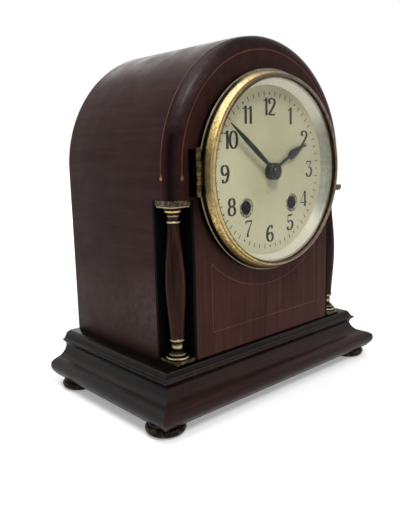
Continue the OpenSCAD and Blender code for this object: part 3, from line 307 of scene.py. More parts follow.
def make_piece(name: str, skin: Skin, finish: "Finish", body: str,
               replaces: Sequence[str] = ()) -> bpy.types.Object:
    """Makes a piece of the object from a surface.

    Args:
        name: Name of the piece.
        skin: Its surface, in millimetres.
        finish: Its finish.
        body: Body that it rides on.
        replaces: Solids that it stands for.

    Returns:
        The new object.
    """
    mesh = bpy.data.meshes.new(name)
    mesh.from_pydata((skin.points * MM).tolist(), [], skin.faces)
    shell = bmesh.new()
    shell.from_mesh(mesh)
    bmesh.ops.remove_doubles(shell, verts=shell.verts, dist=MERGE)
    bmesh.ops.recalc_face_normals(shell, faces=shell.faces)
    shell.to_mesh(mesh)
    shell.free()
    mesh.shade_smooth()
    mesh.set_sharp_from_angle(angle=CREASE)
    mesh.materials.append(finish.material())
    piece = bpy.data.objects.new(name, mesh)
    bpy.context.scene.collection.objects.link(piece)
    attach(piece, body)
    if replaces:
        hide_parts(*replaces)
    log.info("%s rides on %s with %d faces", name, body, len(mesh.polygons))
    return piece


def dress(finish: "Finish", *nodes: str) -> None:
    """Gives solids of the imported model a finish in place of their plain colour.

    Args:
        finish: The finish.
        nodes: Names of the solids.
    """
    for node in nodes:
        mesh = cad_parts[node].data
        mesh.materials.clear()
        mesh.materials.append(finish.material())
        log.info("%s is dressed in %s", node, finish.name)


# Finishes


Feed = Socket | float | Sequence[float]


class Wiring:
    """A tree of nodes, with short ways to add to it."""

    def __init__(self, tree: bpy.types.NodeTree) -> None:
        """Keeps the tree."""
        self.tree = tree

    def feed(self, target: Socket, source: Feed) -> None:
        """Wires a pattern to a socket, or sets the socket to one value.

        Args:
            target: The socket.
            source: The pattern, or a value that is the same all over.
        """
        if isinstance(source, Socket):
            self.tree.links.new(source, target)
        else:
            target.default_value = source

    def node(self, kind: str, feeds: dict[str | int, Feed] | None = None, **options: str) -> bpy.types.Node:
        """Adds a node.

        Args:
            kind: Kind of node, by the end of its type's name.
            feeds: What goes into its sockets, by their names or numbers.
            options: Settings of the node.

        Returns:
            The node.
        """
        node = self.tree.nodes.new("ShaderNode" + kind)
        for name, value in options.items():
            setattr(node, name, value)
        for name, source in (feeds or {}).items():
            self.feed(node.inputs[name], source)
        return node

    def math(self, operation: str, *values: Feed) -> Socket:
        """The outcome of an operation on values."""
        return self.node("Math", dict(enumerate(values)), operation=operation).outputs[0]

    def sum(self, first: Socket, second: Socket, share: float) -> Socket:
        """The first value plus a share of the second."""
        return self.math("MULTIPLY_ADD", second, share, first)

    def product(self, first: Socket, second: Socket) -> Socket:
        """The first value times the second."""
        return self.math("MULTIPLY", first, second)

    def spread(self, fac: Socket, low: float, high: float, start: float = 0.3, end: float = 0.7) -> Socket:
        """A value moved from the range start to end into the range low to high."""
        feeds = {"Value": fac, "From Min": start, "From Max": end, "To Min": low, "To Max": high}
        return self.node("MapRange", feeds).outputs["Result"]

    def rays(self, *kinds: str) -> Socket:
        """Tells kinds of light rays from all others.

        Args:
            kinds: Names of the kinds.

        Returns:
            One for rays of these kinds and zero for others.
        """
        path = self.node("LightPath").outputs
        total = path[kinds[0]]
        for kind in kinds[1:]:
            total = self.math("MAXIMUM", total, path[kind])
        return total


class Paint(Wiring):
    """The nodes of one material, wired from its patterns to its surface."""

    def __init__(self, name: str) -> None:
        """Starts a material with a plain surface.

        Args:
            name: Name of the material.
        """
        self.material = bpy.data.materials.new(name)
        self.material.use_nodes = True
        super().__init__(self.material.node_tree)
        self.surface = self.tree.nodes["Principled BSDF"]
        self.place = self.node("TexCoord").outputs["Object"]

    def set(self, **values: Feed) -> None:
        """Feeds the surface, by the names of its sockets with _ for a space."""
        for name, value in values.items():
            self.feed(self.surface.inputs[name.replace("_", " ")], value)

    def stretched(self, scale: Sequence[float], shift: Sequence[float] = (0, 0, 0)) -> Socket:
        """The place on the object, scaled along X, Y and Z and then shifted."""
        feeds = {"Vector": self.place, "Scale": scale, "Location": shift}
        return self.node("Mapping", feeds).outputs["Vector"]

    def noise(self, place: Socket, scale: float, detail: float = 3, distortion: float = 0) -> Socket:
        """Cloudy noise from 0 to 1, with so many clouds to a metre."""
        feeds = {"Vector": place, "Scale": scale, "Detail": detail, "Distortion": distortion}
        return self.node("TexNoise", feeds).outputs["Fac"]

    def specks(self, pitch: float) -> Socket:
        """Distance from the nearest of scattered points, which lie so many millimetres apart."""
        feeds = {"Vector": self.place, "Scale": 1 / (pitch * MM)}
        return self.node("TexVoronoi", feeds).outputs["Distance"]

    def ramp(self, fac: Socket, *stops: tuple[float, Colour]) -> Socket:
        """Spreads colours along a value.

        Args:
            fac: The value.
            stops: Place of each colour along the value, and the colour, in rising order.

        Returns:
            The colour.
        """
        node = self.node("ValToRGB", {"Fac": fac})
        elements = node.color_ramp.elements
        for place, _ in stops[2:]:
            elements.new(place)
        for element, (place, colour) in zip(elements, stops):
            element.position = place
            element.color = (*colour, 1)
        return node.outputs["Color"]

    def mix(self, fac: Feed, first: Socket, second: Socket, mode: str = "MIX") -> Socket:
        """Blends two colours.

        Args:
            fac: Share of the second colour.
            first: The lower colour.
            second: The upper colour.
            mode: The way that the upper colour is laid over the lower one.

        Returns:
            The colour.
        """
        node = self.node("Mix", data_type="RGBA", blend_type=mode)
        sockets = {socket.identifier: socket for socket in (*node.inputs, *node.outputs)}
        for name, source in (("Factor_Float", fac), ("A_Color", first), ("B_Color", second)):
            self.feed(sockets[name], source)
        return sockets["Result_Color"]

    def length(self, place: Socket) -> Socket:
        """The distance of a place from zero."""
        return self.node("VectorMath", {0: place}, operation="LENGTH").outputs["Value"]

    def along(self, datum: Datum) -> Socket:
        """The place on the object along the direction of a datum.

        Args:
            datum: The datum.

        Returns:
            The distance from the middle of the dial, or else the coordinate, in metres.
        """
        if datum is Datum.DIAL_MIDDLE:
            return self.length(self.stretched((1, 0, 1), (0, 0, -Datum.DIAL_HEIGHT.zero() * MM)))
        return self.node("SeparateXYZ", {"Vector": self.place}).outputs[datum.value[0]]

    def bump(self, height: Socket, depth: float, strength: float) -> None:
        """Roughens the surface by a pattern so many millimetres deep."""
        feeds = {"Height": height, "Distance": depth * MM, "Strength": strength}
        self.set(Normal=self.node("Bump", feeds).outputs["Normal"])


@dataclass(frozen=True)
class Stretch:
    """A part of a surface between two distances from a datum, with soft ends."""

    start: float
    end: float
    datum: Datum
    soft: float = 0.3

    def mask(self, paint: Paint, strength: float = 1.0) -> Socket:
        """Marks the stretch: a rise at its start times a fall at its end.

        Args:
            paint: The material that it is marked in.
            strength: Value inside the stretch.

        Returns:
            The strength inside and zero outside.
        """
        place, zero = paint.along(self.datum), self.datum.zero()
        soft, start, end = self.soft * MM, (zero + self.start) * MM, (zero + self.end) * MM
        rise = paint.spread(place, 0, strength, start - soft, start + soft)
        return paint.product(rise, paint.spread(place, 1, 0, end - soft, end + soft))


@dataclass(frozen=True)
class Band:
    """A cloudy colour on one stretch of a surface, or where that stretch crosses another."""

    colour: Colour
    start: float
    end: float
    datum: Datum
    soft: float = 0.3
    strength: float = 1.0
    polish: float = 0.0
    faded: float = 0.6
    cloud: float = 260
    within: Stretch | None = None

    def mask(self, paint: Paint) -> Socket:
        """Marks the band.

        Args:
            paint: The material that it is marked in.

        Returns:
            Its strength inside the band and zero outside.
        """
        mask = Stretch(self.start, self.end, self.datum, self.soft).mask(paint, self.strength)
        return paint.product(mask, self.within.mask(paint)) if self.within else mask

    def over(self, paint: Paint, colour: Socket) -> Socket:
        """Lays the band over a colour.

        Args:
            paint: The material that it is laid in.
            colour: The colour below.

        Returns:
            The colour with the band.
        """
        pale = tuple(self.faded * part for part in self.colour)
        own = paint.ramp(paint.noise(paint.place, self.cloud, 4), (0.35, pale), (0.7, self.colour))
        return paint.mix(self.mask(paint), colour, own)


@dataclass(frozen=True)
class Finish:
    """A surface finish, made into one material that all its pieces share."""

    name: str

    def material(self) -> bpy.types.Material:
        """Makes the material at its first use.

        Returns:
            The material.
        """
        if self.name not in bpy.data.materials:
            self.make(Paint(self.name))
        return bpy.data.materials[self.name]

    def make(self, paint: Paint) -> None:
        """Fills the material in."""
        raise NotImplementedError


@dataclass(frozen=True)
class BandedFinish(Finish):
    """A finish with bands of other colours on parts of its surface."""

    bands: tuple[Band, ...] = field(default=(), kw_only=True)

    def banded(self, paint: Paint, colour: Socket) -> Socket:
        """Lays all bands of the finish over a colour.

        Args:
            paint: The material that they are laid in.
            colour: The colour below.

        Returns:
            The colour with the bands.
        """
        for band in self.bands:
            colour = band.over(paint, colour)
        return colour


@dataclass(frozen=True)
class Timber(BandedFinish):
    """Stained and polished wood: long figure, fine open pores and a worn polish.

    Figure, cloud and wear are counts to a metre, and pores is a count to one streak of the figure.
    """

    dark: Colour
    middle: Colour
    light: Colour
    grain: Grain
    roughness: float = 0.38
    shine: float = 0.25
    figure: float = 220
    pores: float = 9
    cloud: float = 22
    wear: float = 60

    def make(self, paint: Paint) -> None:
        """Fills the material in.

        Args:
            paint: The nodes of the material.
        """
        place = paint.stretched(self.grain.value)
        figure = paint.noise(place, self.figure, 5, 0.6)
        pores = paint.noise(place, self.figure * self.pores, 2)
        cloud = paint.noise(paint.place, self.cloud)
        streaks = paint.sum(figure, pores, 0.12)
        tone = paint.ramp(streaks, (0.36, self.dark), (0.56, self.middle), (0.76, self.light))
        shade = paint.ramp(cloud, (0.32, (0.72, 0.7, 0.7)), (0.68, (1, 1, 1)))
        colour = self.banded(paint, paint.mix(1, tone, shade, "MULTIPLY"))
        wear = paint.noise(paint.place, self.wear, 4)
        rough = paint.spread(wear, self.roughness - 0.06, self.roughness + 0.08)
        for band in self.bands:
            rough = paint.sum(rough, band.mask(paint), -band.polish) if band.polish else rough
        paint.set(Base_Color=colour, Roughness=rough, Specular_IOR_Level=self.shine)
        paint.bump(pores, 0.05, 0.3)


@dataclass(frozen=True)
class Brass(BandedFinish):
    """Old brass: bright where it is rubbed, brown where it is tarnished, with dark specks."""

    bright: Colour
    tarnish: Colour
    speck: Colour
    tarnished: float = 0.5
    roughness: float = 0.28
    patch: float = 240
    speck_pitch: float = 2.2
    fineness: float = 5

    def make(self, paint: Paint) -> None:
        """Fills the material in.

        Args:
            paint: The nodes of the material.
        """
        cloud = paint.noise(paint.place, self.patch, 5, 0.4)
        fine = paint.noise(paint.place, self.patch * self.fineness)
        worn = paint.sum(cloud, fine, 0.35)
        middle = 0.9 - 0.45 * self.tarnished
        base = paint.ramp(worn, (middle - 0.1, self.bright), (middle + 0.1, self.tarnish))
        ragged = paint.sum(paint.specks(self.speck_pitch), fine, 0.5)
        dark = paint.ramp(fine, (0.3, self.speck), (0.75, self.tarnish))
        colour = paint.mix(paint.spread(ragged, 1, 0, 0.44, 0.54), base, dark)
        rough = paint.spread(worn, self.roughness, self.roughness + 0.3, 0.4, 0.9)
        paint.set(Base_Color=self.banded(paint, colour), Roughness=rough, Metallic=1)
        paint.bump(fine, 0.04, 0.3)


@dataclass(frozen=True)
class Steel(Finish):
    """Steel, bare or blued, with fine marks of the stone across it."""

    dark: Colour
    light: Colour
    roughness: float = 0.3
    stroke: tuple[float, float, float] = (1, 1, 0.08)
    marks: float = 1600
    cloud: float = 180

    def make(self, paint: Paint) -> None:
        """Fills the material in.

        Args:
            paint: The nodes of the material.
        """
        marks = paint.noise(paint.stretched(self.stroke), self.marks)
        cloud = paint.noise(paint.place, self.cloud, 4)
        colour = paint.ramp(paint.sum(cloud, marks, 0.3), (0.45, self.dark), (0.8, self.light))
        rough = paint.spread(marks, self.roughness - 0.06, self.roughness + 0.12)
        paint.set(Base_Color=colour, Roughness=rough, Metallic=1)
        paint.bump(marks, 0.01, 0.3)


@dataclass(frozen=True)
class Card(BandedFinish):
    """A pale painted or silvered face with soft age clouds and a few brown marks."""

    pale: Colour
    aged: Colour
    mark: Colour
    roughness: float = 0.45
    shine: float = 0.3
    cloud: float = 38
    fine: float = 900
    foxing: float = 210

    def make(self, paint: Paint) -> None:
        """Fills the material in.

        Args:
            paint: The nodes of the material.
        """
        cloud = paint.noise(paint.place, self.cloud, 5, 0.3)
        fine = paint.noise(paint.place, self.fine)
        base = paint.ramp(paint.sum(cloud, fine, 0.15), (0.4, self.pale), (0.72, self.aged))
        foxing = paint.spread(paint.noise(paint.place, self.foxing, 2), 0, 0.7, 0.68, 0.76)
        brown = paint.ramp(fine, (0.3, self.mark), (0.7, self.aged))
        colour = self.banded(paint, paint.mix(foxing, base, brown))
        rough = paint.spread(cloud, self.roughness - 0.05, self.roughness + 0.1)
        paint.set(Base_Color=colour, Roughness=rough, Specular_IOR_Level=self.shine)
        paint.bump(fine, 0.02, 0.2)


@dataclass(frozen=True)
class Ink(Finish):
    """Printed or stained black with slightly worn patches."""

    dark: Colour
    worn: Colour
    roughness: float = 0.5
    shine: float = 0.2
    cloud: float = 420

    def make(self, paint: Paint) -> None:
        """Fills the material in.

        Args:
            paint: The nodes of the material.
        """
        cloud = paint.noise(paint.place, self.cloud, 4)
        colour = paint.ramp(cloud, (0.45, self.dark), (0.75, self.worn))
        rough = paint.spread(cloud, self.roughness - 0.05, self.roughness + 0.1)
        paint.set(Base_Color=colour, Roughness=rough, Specular_IOR_Level=self.shine)
        paint.bump(cloud, 0.02, 0.2)


@dataclass(frozen=True)
class WindowGlass(Finish):
    """Clear old glass with a faint waviness, which lets lamp light through to the dial."""

    tint: Colour
    bending: float = 1.18
    waves: float = 45

    def make(self, paint: Paint) -> None:
        """Fills the material in.

        Args:
            paint: The nodes of the material.
        """
        paint.set(Transmission_Weight=1, Roughness=0, IOR=self.bending, Base_Color=(*self.tint, 1))
        paint.bump(paint.noise(paint.place, self.waves, 2), 0.04, 0.2)
        passed = paint.rays("Is Shadow Ray", "Is Diffuse Ray")
        clear = paint.node("BsdfTransparent").outputs[0]
        blend = paint.node("MixShader", {0: passed, 1: paint.surface.outputs[0], 2: clear})
        paint.feed(paint.tree.nodes["Material Output"].inputs["Surface"], blend.outputs[0])


# The front is painted darker round the dial than below it: painted shade from the bezel, where less light
# falls.
FRONT_MAHOGANY = Timber(
    "front_mahogany", (0.035, 0.012, 0.009), (0.05, 0.0182, 0.0133), (0.066, 0.026, 0.0185),
    Grain.UPRIGHT, roughness=0.34, shine=0.05,
    bands=(Band((0.026, 0.0092, 0.0075), 64, PAST, Datum.CASE_FOOT, soft=24, strength=0.8),),
)
# A painted sheen low on the sides, stronger towards the front, a dark foot painted as a reflection of the
# plinth, and the rounded front edge with its dark line and a painted sheen on it.
SIDE_MAHOGANY = Timber(
    "side_mahogany", (0.023, 0.0086, 0.0078), (0.0295, 0.0115, 0.0104), (0.0375, 0.0158, 0.0143),
    Grain.FRONT_TO_BACK, roughness=0.45, shine=0.05, figure=320,
    bands=(
        Band((0.055, 0.031, 0.026), 10, 50, Datum.CASE_FOOT, soft=14, strength=0.65),
        Band((0.085, 0.052, 0.045), 16, 54, Datum.CASE_FOOT, soft=14, strength=0.6,
             within=Stretch(-7.5, 38.5, Datum.CASE_FRONT, soft=14)),
        Band((0.02, 0.0055, 0.004), -4, 5.5, Datum.CASE_FOOT, soft=4, strength=0.8),
        Band((0.026, 0.009, 0.008), -PAST, 8.3, Datum.CASE_FRONT, polish=0.22),
        Band((0.004, 0.0008, 0.0007), 0.9, 4.6, Datum.CASE_FRONT, soft=1.3),
        Band((0.09, 0.06, 0.06), 0.5, 5.1, Datum.CASE_FRONT, soft=1.4, strength=0.75,
             within=Stretch(160, 196, Datum.CASE_FOOT, soft=13)),
    ),
)
BACK_MAHOGANY = Timber(
    "back_mahogany", (0.03, 0.0125, 0.0075), (0.062, 0.027, 0.0155), (0.1, 0.046, 0.026),
    Grain.UPRIGHT, roughness=0.5, shine=0.12,
)
# The lower half of the shafts is painted lighter and warmer: a painted reflection of the lamps.
COLUMN_MAHOGANY = Timber(
    "column_mahogany", (0.006, 0.0016, 0.001), (0.016, 0.0048, 0.0034), (0.042, 0.0145, 0.0085),
    Grain.UPRIGHT, roughness=0.2, shine=0.06, figure=420,
    bands=(Band((0.05, 0.02, 0.012), -PAST, 44, Datum.BASE_FOOT, soft=18, strength=0.5),),
)
# The cove and the roll of the front moulding are painted lighter: painted light that they catch.
PLINTH_FRONT = Timber(
    "plinth_front_stain", (0.009, 0.0033, 0.003), (0.02, 0.0076, 0.0067), (0.034, 0.0135, 0.0115),
    Grain.ACROSS, roughness=0.34, shine=0.1,
    bands=(
        Band((0.024, 0.0145, 0.0135), 11.5, 22, Datum.MOULDING_FOOT, soft=2, strength=0.5),
        Band((0.03, 0.0095, 0.008), -PAST, 8, Datum.MOULDING_FOOT, soft=2, strength=0.5),
    ),
)
# The grey-green of the side mouldings is a painted sheen over the dark stain, and the roll is painted
# lighter as painted light that it catches.
PLINTH_SIDE = Timber(
    "plinth_side_stain_and_sheen", (0.005, 0.0052, 0.005), (0.0105, 0.0108, 0.0105), (0.03, 0.018, 0.0165),
    Grain.FRONT_TO_BACK, roughness=0.38, shine=0.1,
    bands=(Band((0.02, 0.0115, 0.011), -PAST, 9, Datum.MOULDING_FOOT, soft=2, strength=0.5),),
)
# The nose is painted greyish as a painted sheen, and reddish at the front as a painted highlight. Above it
# lie a dark line, a pale arris that is a painted highlight, and the dark top.
PLINTH_TOP = Timber(
    "plinth_top_stain", (0.004, 0.0026, 0.0024), (0.009, 0.0055, 0.005), (0.018, 0.0095, 0.0083),
    Grain.ACROSS, roughness=0.3, shine=0.09,
    bands=(
        Band((0.014, 0.0155, 0.0145), 4, 6.6, Datum.BOARD_FOOT, strength=0.8),
        Band((0.036, 0.0215, 0.0198), 4, 6.6, Datum.BOARD_FOOT, strength=0.8,
             within=Stretch(-PAST, -3.5, Datum.CASE_FRONT, soft=1.5)),
        Band((0.0022, 0.0014, 0.0012), 6.8, 7.5, Datum.BOARD_FOOT, soft=0.25),
        Band((0.036, 0.031, 0.029), 9.3, 9.75, Datum.BOARD_FOOT, soft=0.12, strength=0.8),
        Band((0.0022, 0.0014, 0.0012), 9.8, PAST, Datum.BOARD_FOOT, soft=0.12),
    ),
)
# Both inlays end in a paler dot.
FRONT_BOXWOOD = Timber(
    "front_inlay", (0.07, 0.022, 0.015), (0.098, 0.032, 0.022), (0.13, 0.046, 0.032),
    Grain.UPRIGHT, roughness=0.4, shine=0.08,
    bands=(Band((0.22, 0.105, 0.05), -3, 1.2, Datum.DIAL_HEIGHT, soft=0.2),),
)
SIDE_BOXWOOD = Timber(
    "side_inlay", (0.08, 0.03, 0.018), (0.115, 0.045, 0.027), (0.155, 0.066, 0.039),
    Grain.UPRIGHT, roughness=0.4, shine=0.08,
    bands=(Band((0.36, 0.19, 0.08), -3, 1.2, Datum.DIAL_HEIGHT, soft=0.2),),
)
EBONY = Ink("ebonised_niche", (0.0012, 0.0011, 0.001), (0.003, 0.0025, 0.002), roughness=0.6, shine=0.05)
# Painted light and shade on the ring: painted highlights on its top and its middle stretch, a bright painted
# streak and a bright painted bead below the top, and painted shade on the brown bevel at the sides, on the
# dark inner edge, on the dull pinkish right, in the dark hollow on the left and on the dark rim, with a
# painted highlight line along the rim.
BEZEL_BRASS = Brass(
    "bezel_brass", (0.66, 0.49, 0.2), (0.26, 0.17, 0.062), (0.012, 0.008, 0.004),
    roughness=0.22, patch=800, speck_pitch=0.9,
    bands=(
        Band((0.58, 0.46, 0.25), 34, PAST, Datum.DIAL_HEIGHT, soft=10, strength=0.6),
        Band((0.36, 0.275, 0.14), -20, 18, Datum.DIAL_HEIGHT, soft=9, strength=0.7),
        Band((1.0, 0.9, 0.62), 68.8, 69.7, Datum.DIAL_MIDDLE, soft=0.4, strength=0.7,
             within=Stretch(28, PAST, Datum.DIAL_HEIGHT, soft=8)),
        Band((0.12, 0.085, 0.035), -11.6, -7.5, Datum.CASE_FRONT, soft=0.5, strength=0.85,
             within=Stretch(-19, 19, Datum.DIAL_HEIGHT, soft=10)),
        Band((0.06, 0.036, 0.017), -PAST, 64.6, Datum.DIAL_MIDDLE, strength=0.9),
        Band((0.5, 0.38, 0.17), 65, 66.2, Datum.DIAL_MIDDLE, strength=0.7,
             within=Stretch(-62, 22, Datum.DIAL_HEIGHT, soft=6)),
        Band((0.07, 0.042, 0.021), -PAST, 66.5, Datum.DIAL_MIDDLE, soft=0.35, strength=0.9,
             within=Stretch(27, PAST, Datum.DIAL_HEIGHT, soft=8)),
        Band((0.2, 0.15, 0.112), -5, 90, Datum.MIDDLE, soft=25, strength=0.85),
        Band((0.03, 0.02, 0.012), -PAST, 63.6, Datum.DIAL_MIDDLE, strength=0.9),
        Band((0.006, 0.0045, 0.003), -8, -4.75, Datum.CASE_FRONT, soft=0.6,
             within=Stretch(-PAST, -22, Datum.MIDDLE, soft=16)),
        Band((0.2, 0.18, 0.145), -4.75, -4.35, Datum.CASE_FRONT, soft=0.08),
        Band((0.006, 0.0045, 0.003), -4.35, PAST, Datum.CASE_FRONT, soft=0.08),
    ),
)
# The leaf behind the knuckles is painted nearly black: painted shade under the bezel.
HINGE_BRASS = Brass(
    "hinge_brass", (0.13, 0.098, 0.042), (0.036, 0.027, 0.0125), (0.012, 0.009, 0.005),
    tarnished=0.6, roughness=0.18, patch=300, speck_pitch=1.3,
    bands=(Band((0.006, 0.0045, 0.0035), -5.9, PAST, Datum.CASE_FRONT, soft=0.15),),
)
CASE_BRASS = Brass(
    "case_brass", (0.36, 0.28, 0.135), (0.13, 0.098, 0.048), (0.03, 0.022, 0.012),
    tarnished=0.6, roughness=0.24, patch=300, speck_pitch=1.3,
)
# On capitals and bases the beads carry painted highlights, on the capitals one a pinkish painted reflection,
# and the hollows between them painted shade, listed from the top.
CAPITAL_BRASS = Brass(
    "capital_brass", (0.15, 0.115, 0.07), (0.04, 0.031, 0.019), (0.014, 0.01, 0.006),
    tarnished=0.55, roughness=0.2, patch=300, speck_pitch=1.3,
    bands=(
        Band((0.42, 0.31, 0.21), 10.3, 11, Datum.SHAFT_HEAD, soft=0.15),
        Band((0.012, 0.01, 0.006), 9, 10.1, Datum.SHAFT_HEAD, soft=0.2),
        Band((0.72, 0.5, 0.21), 7.1, 8.6, Datum.SHAFT_HEAD, soft=0.25),
        Band((0.02, 0.015, 0.009), 5.7, 6.8, Datum.SHAFT_HEAD, soft=0.2),
        Band((0.33, 0.23, 0.17), 4.4, 5.5, Datum.SHAFT_HEAD, soft=0.2),
        Band((0.022, 0.02, 0.013), 1.9, 4.1, Datum.SHAFT_HEAD, soft=0.25),
        Band((0.5, 0.44, 0.32), 0.6, 1.5, Datum.SHAFT_HEAD, soft=0.2),
    ),
)
BASE_BRASS = Brass(
    "base_brass", (0.125, 0.1, 0.053), (0.034, 0.028, 0.017), (0.012, 0.01, 0.006),
    tarnished=0.62, roughness=0.2, patch=300, speck_pitch=1.3,
    bands=(
        Band((0.36, 0.31, 0.23), 14.6, 15.8, Datum.BASE_FOOT, soft=0.25),
        Band((0.02, 0.017, 0.01), 12.6, 14.1, Datum.BASE_FOOT),
        Band((0.54, 0.45, 0.235), 9.9, 11.6, Datum.BASE_FOOT, soft=0.6, strength=0.85),
        Band((0.016, 0.014, 0.009), 6.9, 8.4, Datum.BASE_FOOT),
        Band((0.24, 0.2, 0.115), 5.4, 6.2, Datum.BASE_FOOT, soft=0.2),
        Band((0.02, 0.017, 0.01), 4.5, 5.1, Datum.BASE_FOOT, soft=0.15),
        Band((0.58, 0.5, 0.3), 3.3, 4.1, Datum.BASE_FOOT, soft=0.2),
    ),
)
FOOT_BRASS = Brass(
    "foot_bronze", (0.075, 0.055, 0.025), (0.0105, 0.008, 0.006), (0.003, 0.0025, 0.002),
    tarnished=0.75, roughness=0.32,
)
# The tube of the eyelets is painted dark inside: painted shade in the winding holes.
EYELET_BRASS = Brass(
    "eyelet_metal", (0.27, 0.258, 0.185), (0.16, 0.153, 0.108), (0.05, 0.047, 0.03), roughness=0.36,
    bands=(Band((0.004, 0.004, 0.003), -1.45, PAST, Datum.CASE_FRONT, soft=0.08),),
)
MOVEMENT_BRASS = Brass(
    "train_brass", (0.62, 0.46, 0.2), (0.46, 0.33, 0.14), (0.3, 0.21, 0.09),
    roughness=0.26, patch=90, speck_pitch=5,
)
# The sight ring is painted palest at its top and darkest at its right: painted reflections of the room.
SILVERED = Card(
    "silvered_ring", (0.6, 0.58, 0.455), (0.5, 0.485, 0.375), (0.25, 0.22, 0.14), roughness=0.3, shine=0.5,
    bands=(
        Band((0.82, 0.795, 0.64), 38, PAST, Datum.DIAL_HEIGHT, soft=8, faded=0.9),
        Band((0.27, 0.268, 0.21), 52, PAST, Datum.MIDDLE, soft=5, strength=0.9),
    ),
)
# The left and the foot of the dial are painted paler than its middle: painted light, falling from the left
# and thrown back from the sight ring at the foot.
DIAL_CREAM = Card(
    "dial_enamel", (0.45, 0.427, 0.275), (0.385, 0.364, 0.23), (0.17, 0.14, 0.08), roughness=0.5, shine=0.1,
    bands=(
        Band((0.54, 0.512, 0.337), -PAST, -30, Datum.MIDDLE, soft=16, faded=0.92),
        Band((0.53, 0.503, 0.333), -72, -32, Datum.DIAL_HEIGHT, soft=16, faded=0.92),
    ),
)
DIAL_INK = Ink("dial_ink", (0.014, 0.016, 0.014), (0.04, 0.042, 0.035), shine=0.1)
BLUED = Steel("blued_metal", (0.007, 0.009, 0.008), (0.03, 0.035, 0.031), roughness=0.38)
BARE_STEEL = Steel("bare_steel", (0.28, 0.28, 0.28), (0.5, 0.5, 0.49))
GLASS = WindowGlass("clock_glass", (0.99, 0.995, 0.985))


# Sub-assemblies


@dataclass
class Case:
    """The bent case wall with its panels, inlay and niches."""

    edge: float = 8.3
    arris: float = 0.6
    joint: float = 0.1
    inlay_stand: float = 0.05
    arch_steps: int = 144

    def wall(self) -> Skin:
        """The bent wall: a closed profile of radius and depth, carried up one side, round and down.

        Below the heads of the columns the profile starts behind the niche, so two stations share
        the height of the heads, and the faces between them are the ceiling of the niche.

        Returns:
            The surface.
        """
        low, high = box_mm("case_shell")
        front, back, foot = low[1], high[1], low[2]
        outer = high[0] - self.inlay_stand
        inner = box_mm("front_panel")[1][0] + self.joint
        spring = high[2] - high[0]
        head = box_mm("column_capitals")[1][2]
        niche = box_mm("niche_linings")[1][1]
        profile = outline((inner, back), (inner, niche), (inner, front),
                          arc((outer - self.edge, front + self.edge), self.edge, -90, 0, 20),
                          (outer, niche), arc((outer - self.arris, back - self.arris), self.arris, 0, 90, 4))
        turn = np.radians(np.linspace(180, 0, self.arch_steps + 1))
        angle = np.concatenate([[np.pi] * 3, turn, [0] * 3])[:, None]
        springs, fronts = np.full(turn.shape, spring), np.full(turn.shape, front)
        height = np.concatenate([[foot, head, head], springs, [head, head, foot]])[:, None]
        start = np.concatenate([[niche, niche, front], fronts, [front, niche, niche]])[:, None]
        radius, depth = profile[:, 0], np.maximum(profile[:, 1], start)
        points = np.stack([radius * np.cos(angle), depth, height + radius * np.sin(angle)], axis=-1)
        return grid(points, wrap_columns=True, caps=True)

    def build(self) -> None:
        """Makes the wall and dresses the flat pieces."""
        make_piece("case_wall", self.wall(), SIDE_MAHOGANY, CASE_BODY, ["case_shell"])
        dress(FRONT_MAHOGANY, "front_panel")
        dress(BACK_MAHOGANY, "back_panel")
        dress(EBONY, "niche_linings")
        dress(FRONT_BOXWOOD, "front_stringing")
        dress(SIDE_BOXWOOD, "side_stringing")


